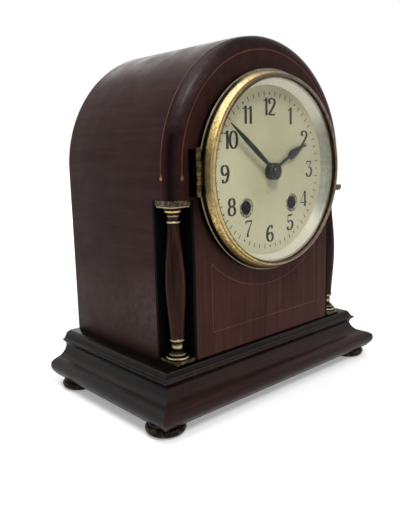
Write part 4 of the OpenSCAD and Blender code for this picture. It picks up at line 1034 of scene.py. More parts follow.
@dataclass
class Columns:
    """The two corner columns with their brass bases and capitals."""

    foot_r: float = 4.72
    head_r: float = 4.05
    swell: float = 2.4
    swell_power: float = 1.5
    base_plate_t: float = 2.6
    base_rise: float = 1.9
    capital_plate_t: float = 4.7
    plate_corner: float = 1.2
    plate_arris: float = 0.5
    rings: int = 72
    sides: int = 64

    def __post_init__(self) -> None:
        """Takes the places of the columns from the frame."""
        low, high = box_mm("column_bases")
        shaft_low, shaft_high = box_mm("column_shafts")
        self.plate_half = (high[1] - low[1]) / 2
        self.axes = [(side * (high[0] - self.plate_half), (low[1] + high[1]) / 2) for side in (-1, 1)]
        self.floor = low[2]
        self.shaft_foot = shaft_low[2] + self.base_rise
        self.shaft_head = shaft_high[2]
        self.head = box_mm("column_capitals")[1][2]

    def turned(self, profile: Array, height: float) -> Skin:
        """A turned piece on both columns, its profile's zero at a height."""
        return joined([revolve(profile, (x, y, height), Axis.UP, sides=self.sides) for x, y in self.axes])

    def plates(self, height: float, rows: Array) -> Skin:
        """A square plate on both columns, its rows starting at a height."""
        half = [self.plate_half] * 2
        return joined([plate((x, y, height), half, rows, self.plate_corner) for x, y in self.axes])

    def shafts(self) -> Skin:
        """The shafts: the radius tapers evenly and swells by a power of the sine of the height.

        Returns:
            The surface.
        """
        length = self.shaft_head - self.shaft_foot
        t = np.linspace(0, 1, self.rings)
        bulge = self.swell * np.maximum(0, np.sin(np.pi * t)) ** self.swell_power
        radius = self.foot_r + (self.head_r - self.foot_r) * t + bulge
        profile = outline((0, 0), np.column_stack([radius, length * t]), (0, length))
        return self.turned(profile, self.shaft_foot)

    def bases(self) -> Skin:
        """The bases: a square plate, two beads, a ball and a collar, stretched up to the shafts.

        Returns:
            The surface.
        """
        low = self.floor + self.base_plate_t
        profile = outline((0, 0), bead(7.8, 0, 1.8), bead(6, 1.8, 3.6), (4.6, 3.7), (4.2, 4.6),
                          arc((0, 7.2), 3.9, -38, 38), (4.2, 9.8), bead(5.1, 10, 12), (0, 12))
        stretched = profile * (1, (self.shaft_foot - low) / profile[-1][1])
        plates = self.plates(self.floor, softened(self.base_plate_t, self.plate_arris))
        return plates + self.turned(stretched, low)

    def capitals(self) -> Skin:
        """The capitals: collars and beads under a square plate whose lower edge is hollowed.

        Returns:
            The surface.
        """
        rows = outline((1.1, 0), (0.95, 0.25), (0.95, 1.0), (0.2, 1.25), (0, 1.5), (0, 4.25), (0.15, 4.58),
                       (0.5, self.capital_plate_t))
        profile = outline((0, 0), bead(4.8, 0, 2), (4, 2.4), (4, 4.3), bead(4.4, 4.3, 5.6), (4.2, 6.2),
                          bead(5.75, 6.8, 9), (6.6, 9.1), (7.4, 10.3), (0, 10.3))
        return self.plates(self.head - self.capital_plate_t, rows) + self.turned(profile, self.shaft_head)

    def build(self) -> None:
        """Makes the columns."""
        make_piece("column_shafts_turned", self.shafts(), COLUMN_MAHOGANY, CASE_BODY,
                   ["column_shafts"])
        make_piece("column_bases_cast", self.bases(), BASE_BRASS, CASE_BODY, ["column_bases"])
        make_piece("column_capitals_cast", self.capitals(), CAPITAL_BRASS, CASE_BODY,
                   ["column_capitals"])


@dataclass
class Plinth:
    """The moulded plinth and its four feet."""

    nose: float = 6.3
    rail_nose: float = 18.0
    rail_h: float = 21.0
    roll_r: float = 7.2
    cove_r: float = 10.4
    cove_above: float = 2.0
    moulding_w: float = 36.0
    foot_r: float = 13.5
    foot_neck: float = 0.84
    screw_recess: float = 4.5
    screw_seat: float = 3.6
    recess_arris: float = 0.2

    def __post_init__(self) -> None:
        """Takes the places of the plinth from the frame."""
        self.board = box_mm("plinth_board")
        self.rail = box_mm("plinth_front_moulding")
        self.side = self.rail[1][0] - self.rail_nose
        self.front = self.rail[0][1] + self.rail_nose
        self.back = self.board[1][1]

    def board_profile(self) -> Array:
        """The edge of the top board: a hollow, a nose and two slopes.

        Returns:
            Reach outwards and height of each point.
        """
        n = self.nose
        return outline(curve([(n - 2.8, 0), (n - 2.4, 1.6), (n - 1.3, 3.1), (n - 0.2, 4)]),
                       curve([(n - 0.2, 4.1), (n, 4.6), (n - 0.3, 5.2)]), (n - 1.6, 5.6),
                       curve([(n - 1.65, 5.75), (n - 2.3, 6.8), (n - 3, 8.1), (n - 3.7, 9.5)]),
                       curve([(n - 3.9, 9.75), (n - 5.4, 10.4), (n - 7.2, 11)]))

    def rail_profile(self) -> Array:
        """The face of the mouldings under the board: a fat roll under a deep cove.

        Returns:
            Reach outwards and height of each point.
        """
        n, roll = self.rail_nose, self.roll_r
        end = math.degrees(math.asin(self.cove_above / self.cove_r)) - 180
        return outline((n - 3.7, 0), arc((n - roll, roll), roll, -48, 24), (n - 2.4, 11.4),
                       arc((n - 4.2, self.rail_h + self.cove_above), self.cove_r, -98, end))

    def top_board(self) -> Skin:
        """The top board: its profile carried along both sides and the front, mitred at the corners.

        Returns:
            The surface.
        """
        reach, height = self.board_profile().T
        x, y = self.side + reach, self.front - reach
        back, z = np.full(x.shape, self.back), self.board[0][2] + height
        corners = [(-x, back, z), (-x, y, z), (x, y, z), (x, back, z)]
        points = np.stack([np.stack(corner, axis=-1) for corner in corners], axis=1)
        return grid(points, wrap_columns=True, caps=True)

    def moulding(self, ends: Sequence[tuple[int, float | None]]) -> Skin:
        """A moulding with its profile closed behind, carried between two ends.

        Args:
            ends: For each end the side that it lies on, -1 or 1, and the depth of a square end or
                None for a mitre at the front corner.

        Returns:
            The surface.
        """
        inner = self.rail_nose - self.moulding_w
        face = self.rail_profile()
        reach, height = outline(face, (inner, face[-1][1]), (inner, 0)).T
        rows = []
        for side, square in ends:
            depth = self.front - reach if square is None else np.full(reach.shape, square)
            rows.append(np.stack([side * (self.side + reach), depth, self.rail[0][2] + height], axis=-1))
        return grid(np.stack(rows), wrap_columns=True, caps=True)

    def feet(self) -> Skin:
        """The bun feet: a flattened ball under a short neck, hollowed below for the screw.

        Returns:
            The surface.
        """
        low, high = box_mm("bun_feet")
        tall = high[2] - low[2]
        r, neck = self.foot_r, self.foot_neck * self.foot_r
        recess, edge = self.screw_recess, self.recess_arris
        ball = curve([(0.62, 0), (0.8, 0.07), (0.92, 0.2), (0.985, 0.36), (1, 0.5), (0.97, 0.66),
                      (0.9, 0.78), (0.8, 0.86)]) * (r, tall)
        profile = outline((0, self.screw_seat), (recess, self.screw_seat), (recess, edge),
                          (recess + edge, 0), ball, (neck, 0.88 * tall), (neck, tall), (0, tall))
        places = [(x, y) for x in (low[0] + r, high[0] - r) for y in (low[1] + r, high[1] - r)]
        return joined([revolve(profile, (x, y, low[2]), Axis.UP) for x, y in places])

    def build(self) -> None:
        """Makes the plinth and its feet."""
        front = self.moulding([(-1, None), (1, None)])
        sides = joined([self.moulding([(side, None), (side, self.back)]) for side in (-1, 1)])
        make_piece("plinth_top_board", self.top_board(), PLINTH_TOP, CASE_BODY, ["plinth_board"])
        make_piece("plinth_front_cove", front, PLINTH_FRONT, CASE_BODY, ["plinth_front_moulding"])
        make_piece("plinth_side_coves", sides, PLINTH_SIDE, CASE_BODY, ["plinth_side_mouldings"])
        make_piece("bun_feet_turned", self.feet(), FOOT_BRASS, CASE_BODY, ["bun_feet"])
        dress(PLINTH_FRONT, "plinth_back_rail")
        dress(BARE_STEEL, "foot_screws")


@dataclass(frozen=True)
class Pen:
    """A broad pen for figures one unit tall: upright strokes are thick and level strokes thin."""

    thick: float = 0.205
    thin: float = 0.07
    hair: float = 0.05
    gap: float = 0.06
    slim_figure: float = 0.36
    full_figure: float = 0.6

    def width(self, figure: str) -> float:
        """Width that a figure takes up, as a share of its height."""
        return self.slim_figure if figure == "1" else self.full_figure

    def stroke(self, path: Array) -> Stroke:
        """A stroke whose width grows with a power of its steepness.

        Args:
            path: Points of the middle of the stroke.

        Returns:
            The points, and half the width at each.
        """
        step = np.gradient(path, axis=0)
        steep = np.abs(step[:, 1]) / np.maximum(np.hypot(step[:, 0], step[:, 1]), 1e-9)
        return path, (self.thin + (self.thick - self.thin) * steep**1.6) / 2

    def bar(self, knots: Sequence[Sequence[float]], width: float) -> Stroke:
        """A stroke of one width along a smooth line."""
        path = curve(knots)
        return path, np.full(len(path), width / 2)

    def ball(self, x: float, y: float, radius: float = 0.085) -> Stroke:
        """A round dot: a stroke whose half width follows a circle.

        Args:
            x: Place of its middle to the right.
            y: Place of its middle upwards.
            radius: Its radius.

        Returns:
            The points, and half the width at each.
        """
        t = np.linspace(-1, 1, 15)
        path = np.column_stack([x + radius * t, np.full(t.shape, y)])
        return path, radius * np.sqrt(np.maximum(1 - t**2, 1e-4))

    def oval(self, x: float, y: float, wide: float, tall: float) -> Stroke:
        """A closed oval that starts and ends at its top."""
        angle = np.radians(np.linspace(90, 450, 49))
        return self.stroke(np.column_stack([x + wide * np.cos(angle), y + tall * np.sin(angle)]))

    def digit(self, figure: str) -> list[Stroke]:
        """The strokes of one figure, 0 to 9."""
        return getattr(self, "figure_" + figure)()

    def figure_0(self) -> list[Stroke]:
        """A narrow oval."""
        return [self.oval(0, 0.5, 0.225, 0.47)]

    def figure_1(self) -> list[Stroke]:
        """A stem with a flag."""
        return [self.bar([(0.04, 1), (0.04, 0)], self.thick),
                self.bar([(0.03, 0.95), (-0.07, 0.87), (-0.17, 0.83)], 0.07)]

    def figure_2(self) -> list[Stroke]:
        """A hook from a ball down to a flat foot."""
        hook = [(-0.2, 0.73), (-0.17, 0.9), (0, 0.975), (0.18, 0.86), (0.17, 0.66), (0, 0.36), (-0.22, 0.06)]
        return [self.stroke(curve(hook)), self.ball(-0.16, 0.74),
                self.bar([(-0.24, 0.05), (0.2, 0.05)], 0.1),
                self.bar([(0.2, 0.05), (0.245, 0.2)], self.hair)]

    def figure_3(self) -> list[Stroke]:
        """A flat top, a slanted neck and a round bowl."""
        bowl = [(-0.04, 0.58), (0.14, 0.54), (0.21, 0.31), (0.1, 0.07), (-0.06, 0.02), (-0.2, 0.14)]
        return [self.bar([(-0.2, 0.96), (0.19, 0.96)], 0.08),
                self.bar([(-0.19, 0.96), (-0.2, 0.82)], self.hair),
                self.bar([(0.18, 0.95), (-0.04, 0.58)], 0.06), self.stroke(curve(bowl)),
                self.ball(-0.17, 0.17)]

    def figure_4(self) -> list[Stroke]:
        """A stem with a thin slanted arm and a thin bar."""
        return [self.bar([(0.1, 1), (0.1, 0)], self.thick * 0.9),
                self.bar([(0.06, 0.98), (-0.25, 0.27)], self.hair),
                self.bar([(-0.26, 0.27), (0.27, 0.27)], 0.06)]

    def figure_5(self) -> list[Stroke]:
        """A flag, a thin neck and a round bowl."""
        bowl = [(-0.16, 0.5), (0, 0.6), (0.17, 0.5), (0.2, 0.28), (0.09, 0.06), (-0.07, 0.02), (-0.2, 0.14)]
        return [self.bar([(-0.16, 0.93), (0.02, 0.94), (0.19, 0.97)], 0.12),
                self.bar([(-0.15, 0.94), (-0.16, 0.5)], self.hair), self.stroke(curve(bowl)),
                self.ball(-0.17, 0.17)]

    def figure_6(self) -> list[Stroke]:
        """A long curve that closes into a bowl."""
        sweep = [(0.17, 0.88), (0.06, 0.975), (-0.12, 0.84), (-0.21, 0.45), (-0.15, 0.13), (0, 0.025),
                 (0.15, 0.1), (0.19, 0.3), (0.12, 0.5), (0, 0.55), (-0.14, 0.45)]
        return [self.stroke(curve(sweep)), self.ball(0.14, 0.86, 0.075)]

    def figure_7(self) -> list[Stroke]:
        """A waved bar and a curved leg that thickens downwards."""
        leg = curve([(0.22, 0.92), (0.04, 0.5), (-0.06, 0.22), (-0.07, 0)])
        return [self.bar([(-0.22, 0.9), (-0.05, 0.94), (0.22, 0.93)], 0.11),
                self.bar([(-0.21, 0.95), (-0.22, 0.78)], self.hair),
                (leg, np.linspace(0.03, 0.085, len(leg)))]

    def figure_8(self) -> list[Stroke]:
        """A small oval on a larger one."""
        return [self.oval(0, 0.745, 0.165, 0.23), self.oval(0, 0.265, 0.2, 0.25)]

    def figure_9(self) -> list[Stroke]:
        """A six turned half round."""
        return [((0, 1) - path, half) for path, half in self.figure_6()]


@dataclass
class Dial:
    """The dial with its printing and winding eyelets."""

    ink_t: float = 0.03
    numeral_r: float = 44.5
    numeral_h: float = 11.8
    numeral_stretch: float = 1.27
    hours: int = 12
    minutes: int = 60
    track_r: float = 53.5
    dash_l: float = 3.2
    dash_w: float = 0.62
    hour_dot_r: float = 0.75
    hole_r: float = 4.2
    eyelet_wall: float = 1.9
    lip_r: float = 6.8

    def __post_init__(self) -> None:
        """Takes the place of the dial from the frame."""
        low, high = box_mm("dial_plate")
        self.middle = (low[2] + high[2]) / 2
        self.face = low[1]
        self.pen = Pen()

    def ribbon(self, path: Array, half: Array) -> Skin:
        """A flat stroke on the dial: a thin oblong, as wide as the stroke, carried along its path.

        Args:
            path: Points of the middle of the stroke, from the middle of the dial.
            half: Half the width at each point.

        Returns:
            The surface.
        """
        step = np.gradient(path, axis=0)
        step /= np.hypot(step[:, 0], step[:, 1])[:, None]
        side = np.column_stack([-step[:, 1], step[:, 0]]) * half[:, None]
        rows = [(path + side, self.ink_t), (path - side, self.ink_t), (path - side, 0), (path + side, 0)]
        points = [np.column_stack([at[:, 0], np.full(len(at), self.face - up), self.middle + at[:, 1]])
                  for at, up in rows]
        return grid(np.stack(points, axis=1), wrap_columns=True, caps=True)

    def outward(self, share: float) -> Array:
        """The direction from the middle of the dial at a share of the way round."""
        angle = math.radians(360 * share)
        return np.array([math.sin(angle), math.cos(angle)])

    def numeral(self, hour: int) -> list[Skin]:
        """The upright figures of one hour, side by side on the hour circle.

        Args:
            hour: The hour, 1 to 12.

        Returns:
            The surface of each stroke.
        """
        middle = self.numeral_r * self.outward(hour / self.hours)
        figures = str(hour)
        widths = [self.pen.width(figure) for figure in figures]
        place = -(sum(widths) + self.pen.gap * (len(figures) - 1)) / 2
        size = self.numeral_h * np.array([self.numeral_stretch, 1])
        skins = []
        for figure, width in zip(figures, widths):
            shift = (place + width / 2) * self.numeral_h
            for path, half in self.pen.digit(figure):
                spot = (path - (0, 0.5)) * size + middle + (shift, 0)
                skins.append(self.ribbon(spot, half * self.numeral_h))
            place += width + self.pen.gap
        return skins

    def minute(self, count: int) -> Skin:
        """A dash of the minute track, or a dot where an hour falls.

        Args:
            count: The minute.

        Returns:
            The surface.
        """
        out = self.outward(count / self.minutes)
        if count % (self.minutes // self.hours) == 0:
            return self.ribbon(*self.pen.ball(*(self.track_r * out), self.hour_dot_r))
        ends = np.linspace(-0.5, 0.5, 4)[:, None] * self.dash_l + self.track_r
        return self.ribbon(ends * out, np.full(len(ends), self.dash_w / 2))

    def eyelets(self) -> Skin:
        """The eyelets: a rolled lip on the dial round a short tube.

        Returns:
            The surface.
        """
        low, high = box_mm("winding_eyelets")
        depth, stand = high[1] - self.face, self.face - low[1]
        hole, lip, tube = self.hole_r, self.lip_r, self.hole_r + self.eyelet_wall
        profile = outline((hole, -depth), (tube, -depth), (tube, 0), (lip, 0),
                          curve([(lip, 0.1), (lip - 0.25, 0.7 * stand), (tube, stand),
                                 (tube - 0.6, 0.3 * stand), (hole, -stand)]))
        height = (low[2] + high[2]) / 2
        places = [(side * (high[0] - lip), self.face, height) for side in (-1, 1)]
        return joined([revolve(profile, place, Axis.FORWARD, ring=True) for place in places])

    def build(self) -> None:
        """Dresses the dial plate and makes its printing and eyelets."""
        dress(DIAL_CREAM, "dial_plate")
        dress(CASE_BRASS, "dial_pan")
        printing = [skin for hour in range(1, self.hours + 1) for skin in self.numeral(hour)]
        printing += [self.minute(count) for count in range(self.minutes)]
        make_piece("dial_printing", joined(printing), DIAL_INK, CASE_BODY)
        make_piece("winding_eyelets_rolled", self.eyelets(), EYELET_BRASS, CASE_BODY,
                   ["winding_eyelets"])


@dataclass
class Bezel:
    """The hinged bezel: brass ring, domed glass and sight ring."""

    body: str = "bezel"
    rim_h: float = 4.6
    ring_w: float = 6.8
    ring_wall: float = 3.5
    lip: float = 1.5
    forward: float = 1.6
    arris: float = 0.2
    play: float = 0.2
    glass_t: float = 2.0
    glass_rise: float = 5.0
    glass_lap: float = 1.0
    glass_sink: float = 3.0
    glass_clear: float = 0.05
    sight_lap: float = 1.4
    sight_t: float = 0.7
    hinge_r: float = 1.8
    hinge_bore: float = 0.96
    pin_head: float = 1.0
    pin_clear: float = 0.06
    knuckle_l: float = 15.3
    knuckle_gap: float = 0.3
    tongue_t: float = 1.5
    tongue_bite: float = 1.6
    web_arris: float = 0.15
    leaf_w: float = 2.4
    leaf_lap: float = 0.8
    leaf_t: float = 1.0
    leaf_corner: float = 0.25
    hinge_sides: int = 32
    sides: int = 192

    def __post_init__(self) -> None:
        """Takes the place of the bezel from the frame."""
        low, high = box_mm("bezel_ring")
        self.front = box_mm("case_shell")[0][1]
        self.outer = high[0]
        self.middle = (low[2] + high[2]) / 2
        self.crest = self.front - low[1] + self.forward
        self.back = self.front - high[1]
        self.sight = self.outer - self.ring_w
        self.glass_h = self.crest - self.glass_sink
        self.glass_r = self.sight + self.glass_lap
        self.seat_h = self.glass_h - self.glass_t - self.play
        self.hinge_foot, self.hinge_head = (corner[2] for corner in box_mm("bezel_hinge"))
        self.hinge_head -= self.pin_head
        self.hinge_z = (self.hinge_foot + self.hinge_head) / 2
        self.hinge_y = box_mm("bezel_hinge")[0][1] + self.hinge_r
        self.hinge_x = low[0] + self.hinge_r

    def turned(self, profile: Array, ring: bool) -> Skin:
        """A piece turned round the middle of the dial, its heights measured from the case front."""
        return revolve(profile, (0, self.front, self.middle), Axis.FORWARD, ring, self.sides)

    def pivoted(self, profile: Array, height: float, ring: bool = False) -> Skin:
        """A piece turned round the pin of the hinge, its profile's zero at a height."""
        return revolve(profile, (self.hinge_x, self.hinge_y, height), Axis.UP, ring, self.hinge_sides)

    def ring(self) -> Skin:
        """The brass ring: a thin rim, a bulging bevel and a bead round the glass.

        Returns:
            The surface.
        """
        outer, rim, crest, edge = self.outer, self.rim_h, self.crest, self.arris
        wall, lap = outer - self.ring_wall, self.glass_r + self.play
        profile = outline((wall, self.back), (outer - edge, self.back), (outer, self.back + edge),
                          arc((outer - edge, rim - edge), edge, 0, 90, 5),
                          curve([(outer - 0.6, rim + 0.1), (outer - 1.1, rim + 2), (outer - 2.1, rim + 4.6),
                                 (outer - 3.1, crest - 3), (outer - 4.1, crest - 2)]),
                          arc((self.sight + self.lip, crest - self.lip), self.lip, 0, 180, 20),
                          (self.sight, self.glass_h), (lap, self.glass_h), (lap, self.seat_h - 1),
                          (wall, self.seat_h - 2))
        return self.turned(profile, True)

    def knuckle(self) -> Skin:
        """The middle knuckle of the hinge, a short tube, with the tongue that holds it to the ring.

        Returns:
            The surface.
        """
        half, soft, r, bore = self.knuckle_l / 2, self.arris, self.hinge_r, self.hinge_bore
        profile = outline((bore, -half), (r - soft, -half), (r, soft - half), (r, half - soft),
                          (r - soft, half), (bore, half))
        inside = self.tongue_bite - self.outer
        start = self.hinge_x + 0.5 * (bore + r)
        thick = self.tongue_t / 2
        middle = ((start + inside) / 2, self.hinge_y + thick, self.hinge_z - half)
        rows = softened(self.knuckle_l, self.web_arris)
        tongue = plate(middle, ((inside - start) / 2, thick), rows, self.arris)
        return self.pivoted(profile, self.hinge_z, ring=True) + tongue

    def fixed_hinge(self) -> Skin:
        """The fixed part of the hinge: a leaf on the case, two knuckles on webs, and the pin.

        Returns:
            The surface.
        """
        foot, r, soft, head = self.hinge_foot, self.hinge_r, self.arris, self.pin_head
        length = self.hinge_head - foot
        end = (length - self.knuckle_l - self.knuckle_gap) / 2
        wide, stand = (self.leaf_w + self.leaf_lap) / 2, self.front - self.hinge_y
        middle = (self.hinge_x + self.leaf_lap - wide, self.front - self.leaf_t / 2, foot)
        leaf = plate(middle, (wide, self.leaf_t / 2), softened(length, soft), self.leaf_corner)
        tube = outline((0, 0), (r - soft, 0), (r, soft), (r, end - soft), (r - soft, end), (0, end))
        wire = self.hinge_bore - self.pin_clear
        pin = outline((0, -end), (wire, -end), (wire, 0), (0.85 * r, 0), (0.85 * r, 0.6 * head),
                      (0.5 * r, head), (0, head))
        skins = [leaf, self.pivoted(pin, self.hinge_head)]
        for height in (foot, self.hinge_head - end):
            web = (self.hinge_x, self.hinge_y + stand / 2, height)
            skins.append(self.pivoted(tube, height))
            skins.append(plate(web, (self.leaf_lap, stand / 2), softened(end, self.web_arris), soft))
        return joined(skins)

    def glass(self) -> Skin:
        """The glass: two parts of spheres, one inside the other, joined by a flat rim.

        Returns:
            The surface.
        """
        top, rise, thick = self.glass_h - self.glass_clear, self.glass_rise, self.glass_t
        dome = self.sight - self.play
        ball = (dome**2 + rise**2) / (2 * rise)
        reach = math.degrees(math.asin(dome / ball))
        middle = (0, top + rise - ball)
        profile = outline(arc(middle, ball - thick, 90, 90 - reach, 40),
                          (self.glass_r, self.glass_h - thick), (self.glass_r, top),
                          arc(middle, ball, 90 - reach, 90, 40))
        return self.turned(profile, False)

    def sight_ring(self) -> Skin:
        """The sight ring: a thin cone from the glass down to the dial, rolled at its lip.

        Returns:
            The surface.
        """
        r, top, under = self.glass_r, self.seat_h, self.seat_h - self.sight_t
        low = self.front - box_mm("sight_ring")[1][1]
        lip = box_mm("dial_plate")[1][0] - self.sight_lap
        cone = curve([(r - 2.1, top - 0.3), (lip + 0.15, low + 0.3), (lip, low + 0.1)], 4)
        profile = outline((r, top), (r - 1.9, top), cone, (lip + 0.6, low), (r - 1.5, under), (r, under))
        return self.turned(profile, True)

    def build(self) -> None:
        """Makes the bezel and its hinge and dresses its catch."""
        make_piece("bezel_ring_turned", self.ring(), BEZEL_BRASS, self.body, ["bezel_ring"])
        make_piece("bezel_knuckle", self.knuckle(), HINGE_BRASS, self.body)
        make_piece("bezel_glass_domed", self.glass(), GLASS, self.body, ["bezel_glass"])
        make_piece("sight_ring_spun", self.sight_ring(), SILVERED, self.body, ["sight_ring"])
        make_piece("bezel_hinge_leaf", self.fixed_hinge(), HINGE_BRASS, CASE_BODY, ["bezel_hinge"])
        dress(FOOT_BRASS, "bezel_catch")


@dataclass(frozen=True)
class Hand:
    """The reach of one hand, the angle that it shows clockwise from the top, and its bore and steps."""

    name: str
    node: str
    body: str
    length: float
    angle: float
    bore: float
    steps: int


@dataclass
class Hands:
    """The blued hands and the nut that holds them."""

    minute: Hand = Hand("minute_hand_blued", "minute_hand", "centre", 54.0, 307.5, 2.2, 60)
    hour: Hand = Hand("hour_hand_blued", "hour_hand", "hour", 42.0, 63.5, 3.3, 80)
    boss_r: float = 6.0
    boss_arris: float = 0.2
    boss_round: float = 0.7
    root_r: float = 5.0
    blade_t: float = 0.6
    crown: float = 0.35
    minute_tip: float = 0.35
    minute_taper: float = 0.75
    minute_swell: float = 1.15
    stem_share: float = 0.42
    hour_stem: float = 1.1
    hour_taper: float = 0.8
    spade: float = 2.5
    nut_r: float = 3.4
    nut_dome: float = 0.7
    nut_sides: int = 48
    slot: str = "blued_steel"

    def __post_init__(self) -> None:
        """Takes the place of the hands from the frame."""
        low, high = box_mm("dial_plate")
        self.middle = (low[2] + high[2]) / 2

    def minute_side(self) -> Array:
        """Half width of the minute hand along its length: a taper with a sine swell."""
        s = np.linspace(0, 1, self.minute.steps)
        return self.minute_tip + self.minute_taper * (1 - s) + self.minute_swell * np.sin(np.pi * s)

    def hour_side(self) -> Array:
        """Half width of the hour hand: a plain stem, then a spade that swells fast and runs out thin.

        The spade is a power of the sine of a power of the way along it, less a third at its tip.

        Returns:
            The half width at even steps.
        """
        s = np.linspace(0, 1, self.hour.steps)
        u = np.clip((s - self.stem_share) / (1 - self.stem_share), 0, 1)
        leaf = self.spade * np.maximum(0, np.sin(np.pi * u**0.55)) ** 1.3 * (1 - 0.35 * u)
        return self.hour_stem - self.hour_taper * u + leaf

    def make(self, hand: Hand, side: Array) -> None:
        """Makes a hand: a crowned blade carried along its length, and a round boss.

        Across the blade the height falls with the square of the distance from the middle.

        Args:
            hand: The hand.
            side: Half width at even steps along the blade.
        """
        low, high = box_mm(hand.node)
        near, tall, t = high[1], high[1] - low[1], self.blade_t
        along = np.linspace(self.root_r, hand.length, len(side))[:, None]
        across = np.linspace(-1, 1, 9)
        crown = np.concatenate([t / 2 - self.crown * t * across**2, [-t / 2, -t / 2]])
        wide = side[:, None] * np.concatenate([across, [1, -1]])
        turn = math.radians(hand.angle)
        x = along * math.sin(turn) + wide * math.cos(turn)
        z = along * math.cos(turn) - wide * math.sin(turn)
        y = np.broadcast_to(near - tall / 2 - crown, x.shape)
        blade = grid(np.stack([x, y, z + self.middle], axis=-1), wrap_columns=True, caps=True)
        r, soft, curl = self.boss_r, self.boss_arris, self.boss_round
        rim = outline((hand.bore, 0), (r - soft, 0), (r, soft), arc((r - curl, tall - curl), curl, 0, 80, 6),
                      (hand.bore, tall))
        boss = revolve(rim, (0, near, self.middle), Axis.FORWARD, True)
        make_piece(hand.name, blade + boss, BLUED, hand.body, [hand.node])

    def nut(self) -> Skin:
        """The nut: a low dome with a step at its foot, which covers the end of the arbor.

        Returns:
            The surface.
        """
        low, high = box_mm("hand_nut")
        r, tall = self.nut_r, high[1] - low[1] + self.nut_dome
        profile = outline((0, 0), (r, 0), (r, 0.4 * tall),
                          curve([(r - 0.3, 0.5 * tall), (r * 0.6, 0.9 * tall), (0, tall)]))
        return revolve(profile, (0, high[1], self.middle), Axis.FORWARD, sides=self.nut_sides)

    def build(self) -> None:
        """Makes the hands and the nut."""
        self.make(self.minute, self.minute_side())
        self.make(self.hour, self.hour_side())
        make_piece("hand_nut_turned", self.nut(), BLUED, self.minute.body, ["hand_nut"])


@dataclass
class BackDoor:
    """The hinged door in the back with its knob."""

    body: str = "door"
    knob_sides: int = 48

    def knob(self) -> Skin:
        """The knob: a foot, a neck and a ball with a flattened top.

        Returns:
            The surface.
        """
        low, high = box_mm("door_knob")
        r, tall = (high[0] - low[0]) / 2, high[1] - low[1]
        profile = outline((0, 0), (0.8 * r, 0), (0.8 * r, 0.8),
                          curve([(0.78 * r, 0.9), (0.45 * r, 1.5), (0.45 * r, 2.2), (0.85 * r, 3), (r, 4),
                                 (0.85 * r, 5), (0.5 * r, 5.7), (0, tall)]))
        middle = ((low[0] + high[0]) / 2, low[1], (low[2] + high[2]) / 2)
        return revolve(profile, middle, Axis.BACKWARD, sides=self.knob_sides)

    def build(self) -> None:
        """Makes the knob and dresses the door and its hinges."""
        make_piece("door_knob_turned", self.knob(), CASE_BRASS, self.body, ["door_knob"])
        dress(BACK_MAHOGANY, "back_door")
        dress(CASE_BRASS, "door_hinge_fixed", "door_hinge_moving")


@dataclass
class Movement:
    """The two-train movement, gong and pendulum, which keep their solid shapes."""

    brass: tuple[str, ...] = ("front_plate", "back_plate", "plate_pillars", "time_barrel", "strike_barrel",
                              "time_intermediate_wheel", "strike_intermediate_wheel", "centre_wheel",
                              "third_wheel", "escape_wheel", "minute_wheel", "hour_wheel", "pin_wheel",
                              "warning_wheel", "fly", "suspension_cock", "pendulum_bob", "rating_nut")
    steel: tuple[str, ...] = ("movement_screws", "time_click", "strike_click", "pallet_anchor",
                              "cannon_pinion", "strike_hammer", "pendulum_rod")
    # The winding arbors are dressed dark: blued steel, and also painted shade in the winding holes.
    blued: tuple[str, ...] = ("time_winding_arbor", "strike_winding_arbor", "time_mainspring",
                              "strike_mainspring", "gong")

    def build(self) -> None:
        """Dresses the pieces of the movement."""
        dress(MOVEMENT_BRASS, *self.brass)
        dress(BARE_STEEL, *self.steel)
        dress(BLUED, *self.blued)


@dataclass(frozen=True)
class Lamp:
    """A soft square lamp aimed at the clock, with its place and side in metres and its power in watts."""

    name: str
    place: tuple[float, float, float]
    side: float
    power: float

    def build(self, target: Vector) -> None:
        """Hangs the lamp and turns it to the target.

        Args:
            target: The point that it shines at, in metres.
        """
        light = bpy.data.lights.new(self.name, "AREA")
        light.shape = "SQUARE"
        light.size = self.side
        light.energy = self.power
        lamp = bpy.data.objects.new(self.name, light)
        lamp.location = self.place
        lamp.rotation_euler = (target - Vector(self.place)).to_track_quat("-Z", "Y").to_euler()
        bpy.context.scene.collection.objects.link(lamp)


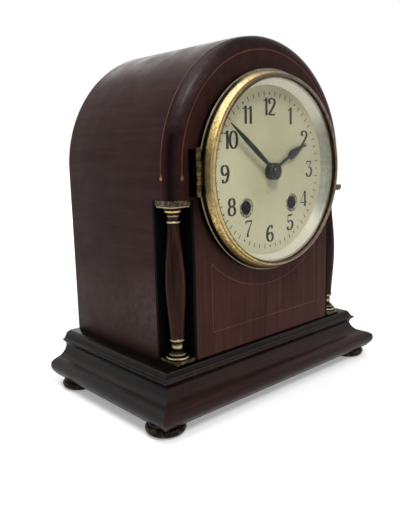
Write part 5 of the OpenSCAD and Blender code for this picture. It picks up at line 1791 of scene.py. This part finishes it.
@dataclass
class Studio:
    """Camera, lamps, pale floor and white surroundings, with the floor and its glow in metres."""

    eye: tuple[float, float, float] = (-316.3, -331.1, 179.1)
    ahead: tuple[float, float, float] = (0.65704, 0.73291, -0.17646)
    roll: float = -1.45
    lens: float = 41.436
    sensor: float = 36.0
    nearest: float = 0.01
    sky: float = 0.4
    white: tuple[float, float, float, float] = (1, 1, 1, 1)
    pale: tuple[float, float, float, float] = (0.78, 0.78, 0.78, 1)
    floor_side: float = 12.0
    floor_roughness: float = 0.9
    near_glow: float = 0.3
    far_glow: float = 0.8
    near_r: float = 0.4
    far_r: float = 2.2
    seen: tuple[str, ...] = ("Is Camera Ray", "Is Glossy Ray", "Is Transmission Ray")
    lamps: tuple[Lamp, ...] = (Lamp("ceiling", (-0.2, 0.1, 1.4), 1.2, 11.0),
                               Lamp("window", (-0.42, -0.88, 1.27), 0.45, 13.0),
                               Lamp("back_fill", (0.8, 1.2, 0.7), 0.9, 7.0))

    def camera(self) -> None:
        """Sets the camera from its place, the way that it looks and its roll."""
        ahead = Vector(self.ahead).normalized()
        right = ahead.cross(Vector((0, 0, 1))).normalized()
        up = right.cross(ahead)
        c, s = math.cos(math.radians(self.roll)), math.sin(math.radians(self.roll))
        axes = Matrix((right * c + up * s, up * c - right * s, -ahead)).transposed()
        data = bpy.data.cameras.new("photo_camera")
        data.lens = self.lens
        data.sensor_width = self.sensor
        data.clip_start = self.nearest
        camera = bpy.data.objects.new("photo_camera", data)
        camera.matrix_world = Matrix.Translation(Vector(self.eye) * MM) @ axes.to_4x4()
        bpy.context.scene.collection.objects.link(camera)
        bpy.context.scene.camera = camera

    def surroundings(self) -> None:
        """White surroundings where they are seen, and a softer light from them on the object."""
        world = bpy.data.worlds.new("studio")
        world.use_nodes = True
        bpy.context.scene.world = world
        wiring = Wiring(world.node_tree)
        background = world.node_tree.nodes["Background"].inputs
        wiring.feed(background["Color"], self.white)
        wiring.feed(background["Strength"], wiring.spread(wiring.rays(*self.seen), self.sky, 1, 0, 1))

    def floor(self) -> None:
        """A pale floor that keeps the shadow and glows a little where it is seen."""
        corners = np.array([(-1, -1, 0), (1, -1, 0), (1, 1, 0), (-1, 1, 0)]) * self.floor_side / 2
        mesh = bpy.data.meshes.new("floor")
        mesh.from_pydata(corners.tolist(), [], [(0, 1, 2, 3)])
        paint = Paint("pale_floor")
        far = paint.length(paint.place)
        glow = paint.spread(far, self.near_glow, self.far_glow, self.near_r, self.far_r)
        paint.set(Base_Color=self.pale, Roughness=self.floor_roughness, Specular_IOR_Level=0,
                  Emission_Color=self.white, Emission_Strength=paint.product(paint.rays(*self.seen), glow))
        mesh.materials.append(paint.material)
        floor = bpy.data.objects.new("floor", mesh)
        bpy.context.scene.collection.objects.link(floor)
        floor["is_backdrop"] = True

    def build(self) -> None:
        """Sets the studio up."""
        bpy.context.scene.view_settings.view_transform = "Standard"
        self.camera()
        self.surroundings()
        self.floor()
        low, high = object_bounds()
        for lamp in self.lamps:
            lamp.build((low + high) / 2)


def main() -> None:
    """Builds the clock and its studio."""
    logging.basicConfig(level=logging.INFO, format="%(message)s")
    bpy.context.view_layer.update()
    assemblies = (Studio, Case, Columns, Plinth, Dial, Bezel, Hands, BackDoor, Movement)
    for assembly in assemblies:
        assembly().build()


if __name__ == "__main__":
    main()
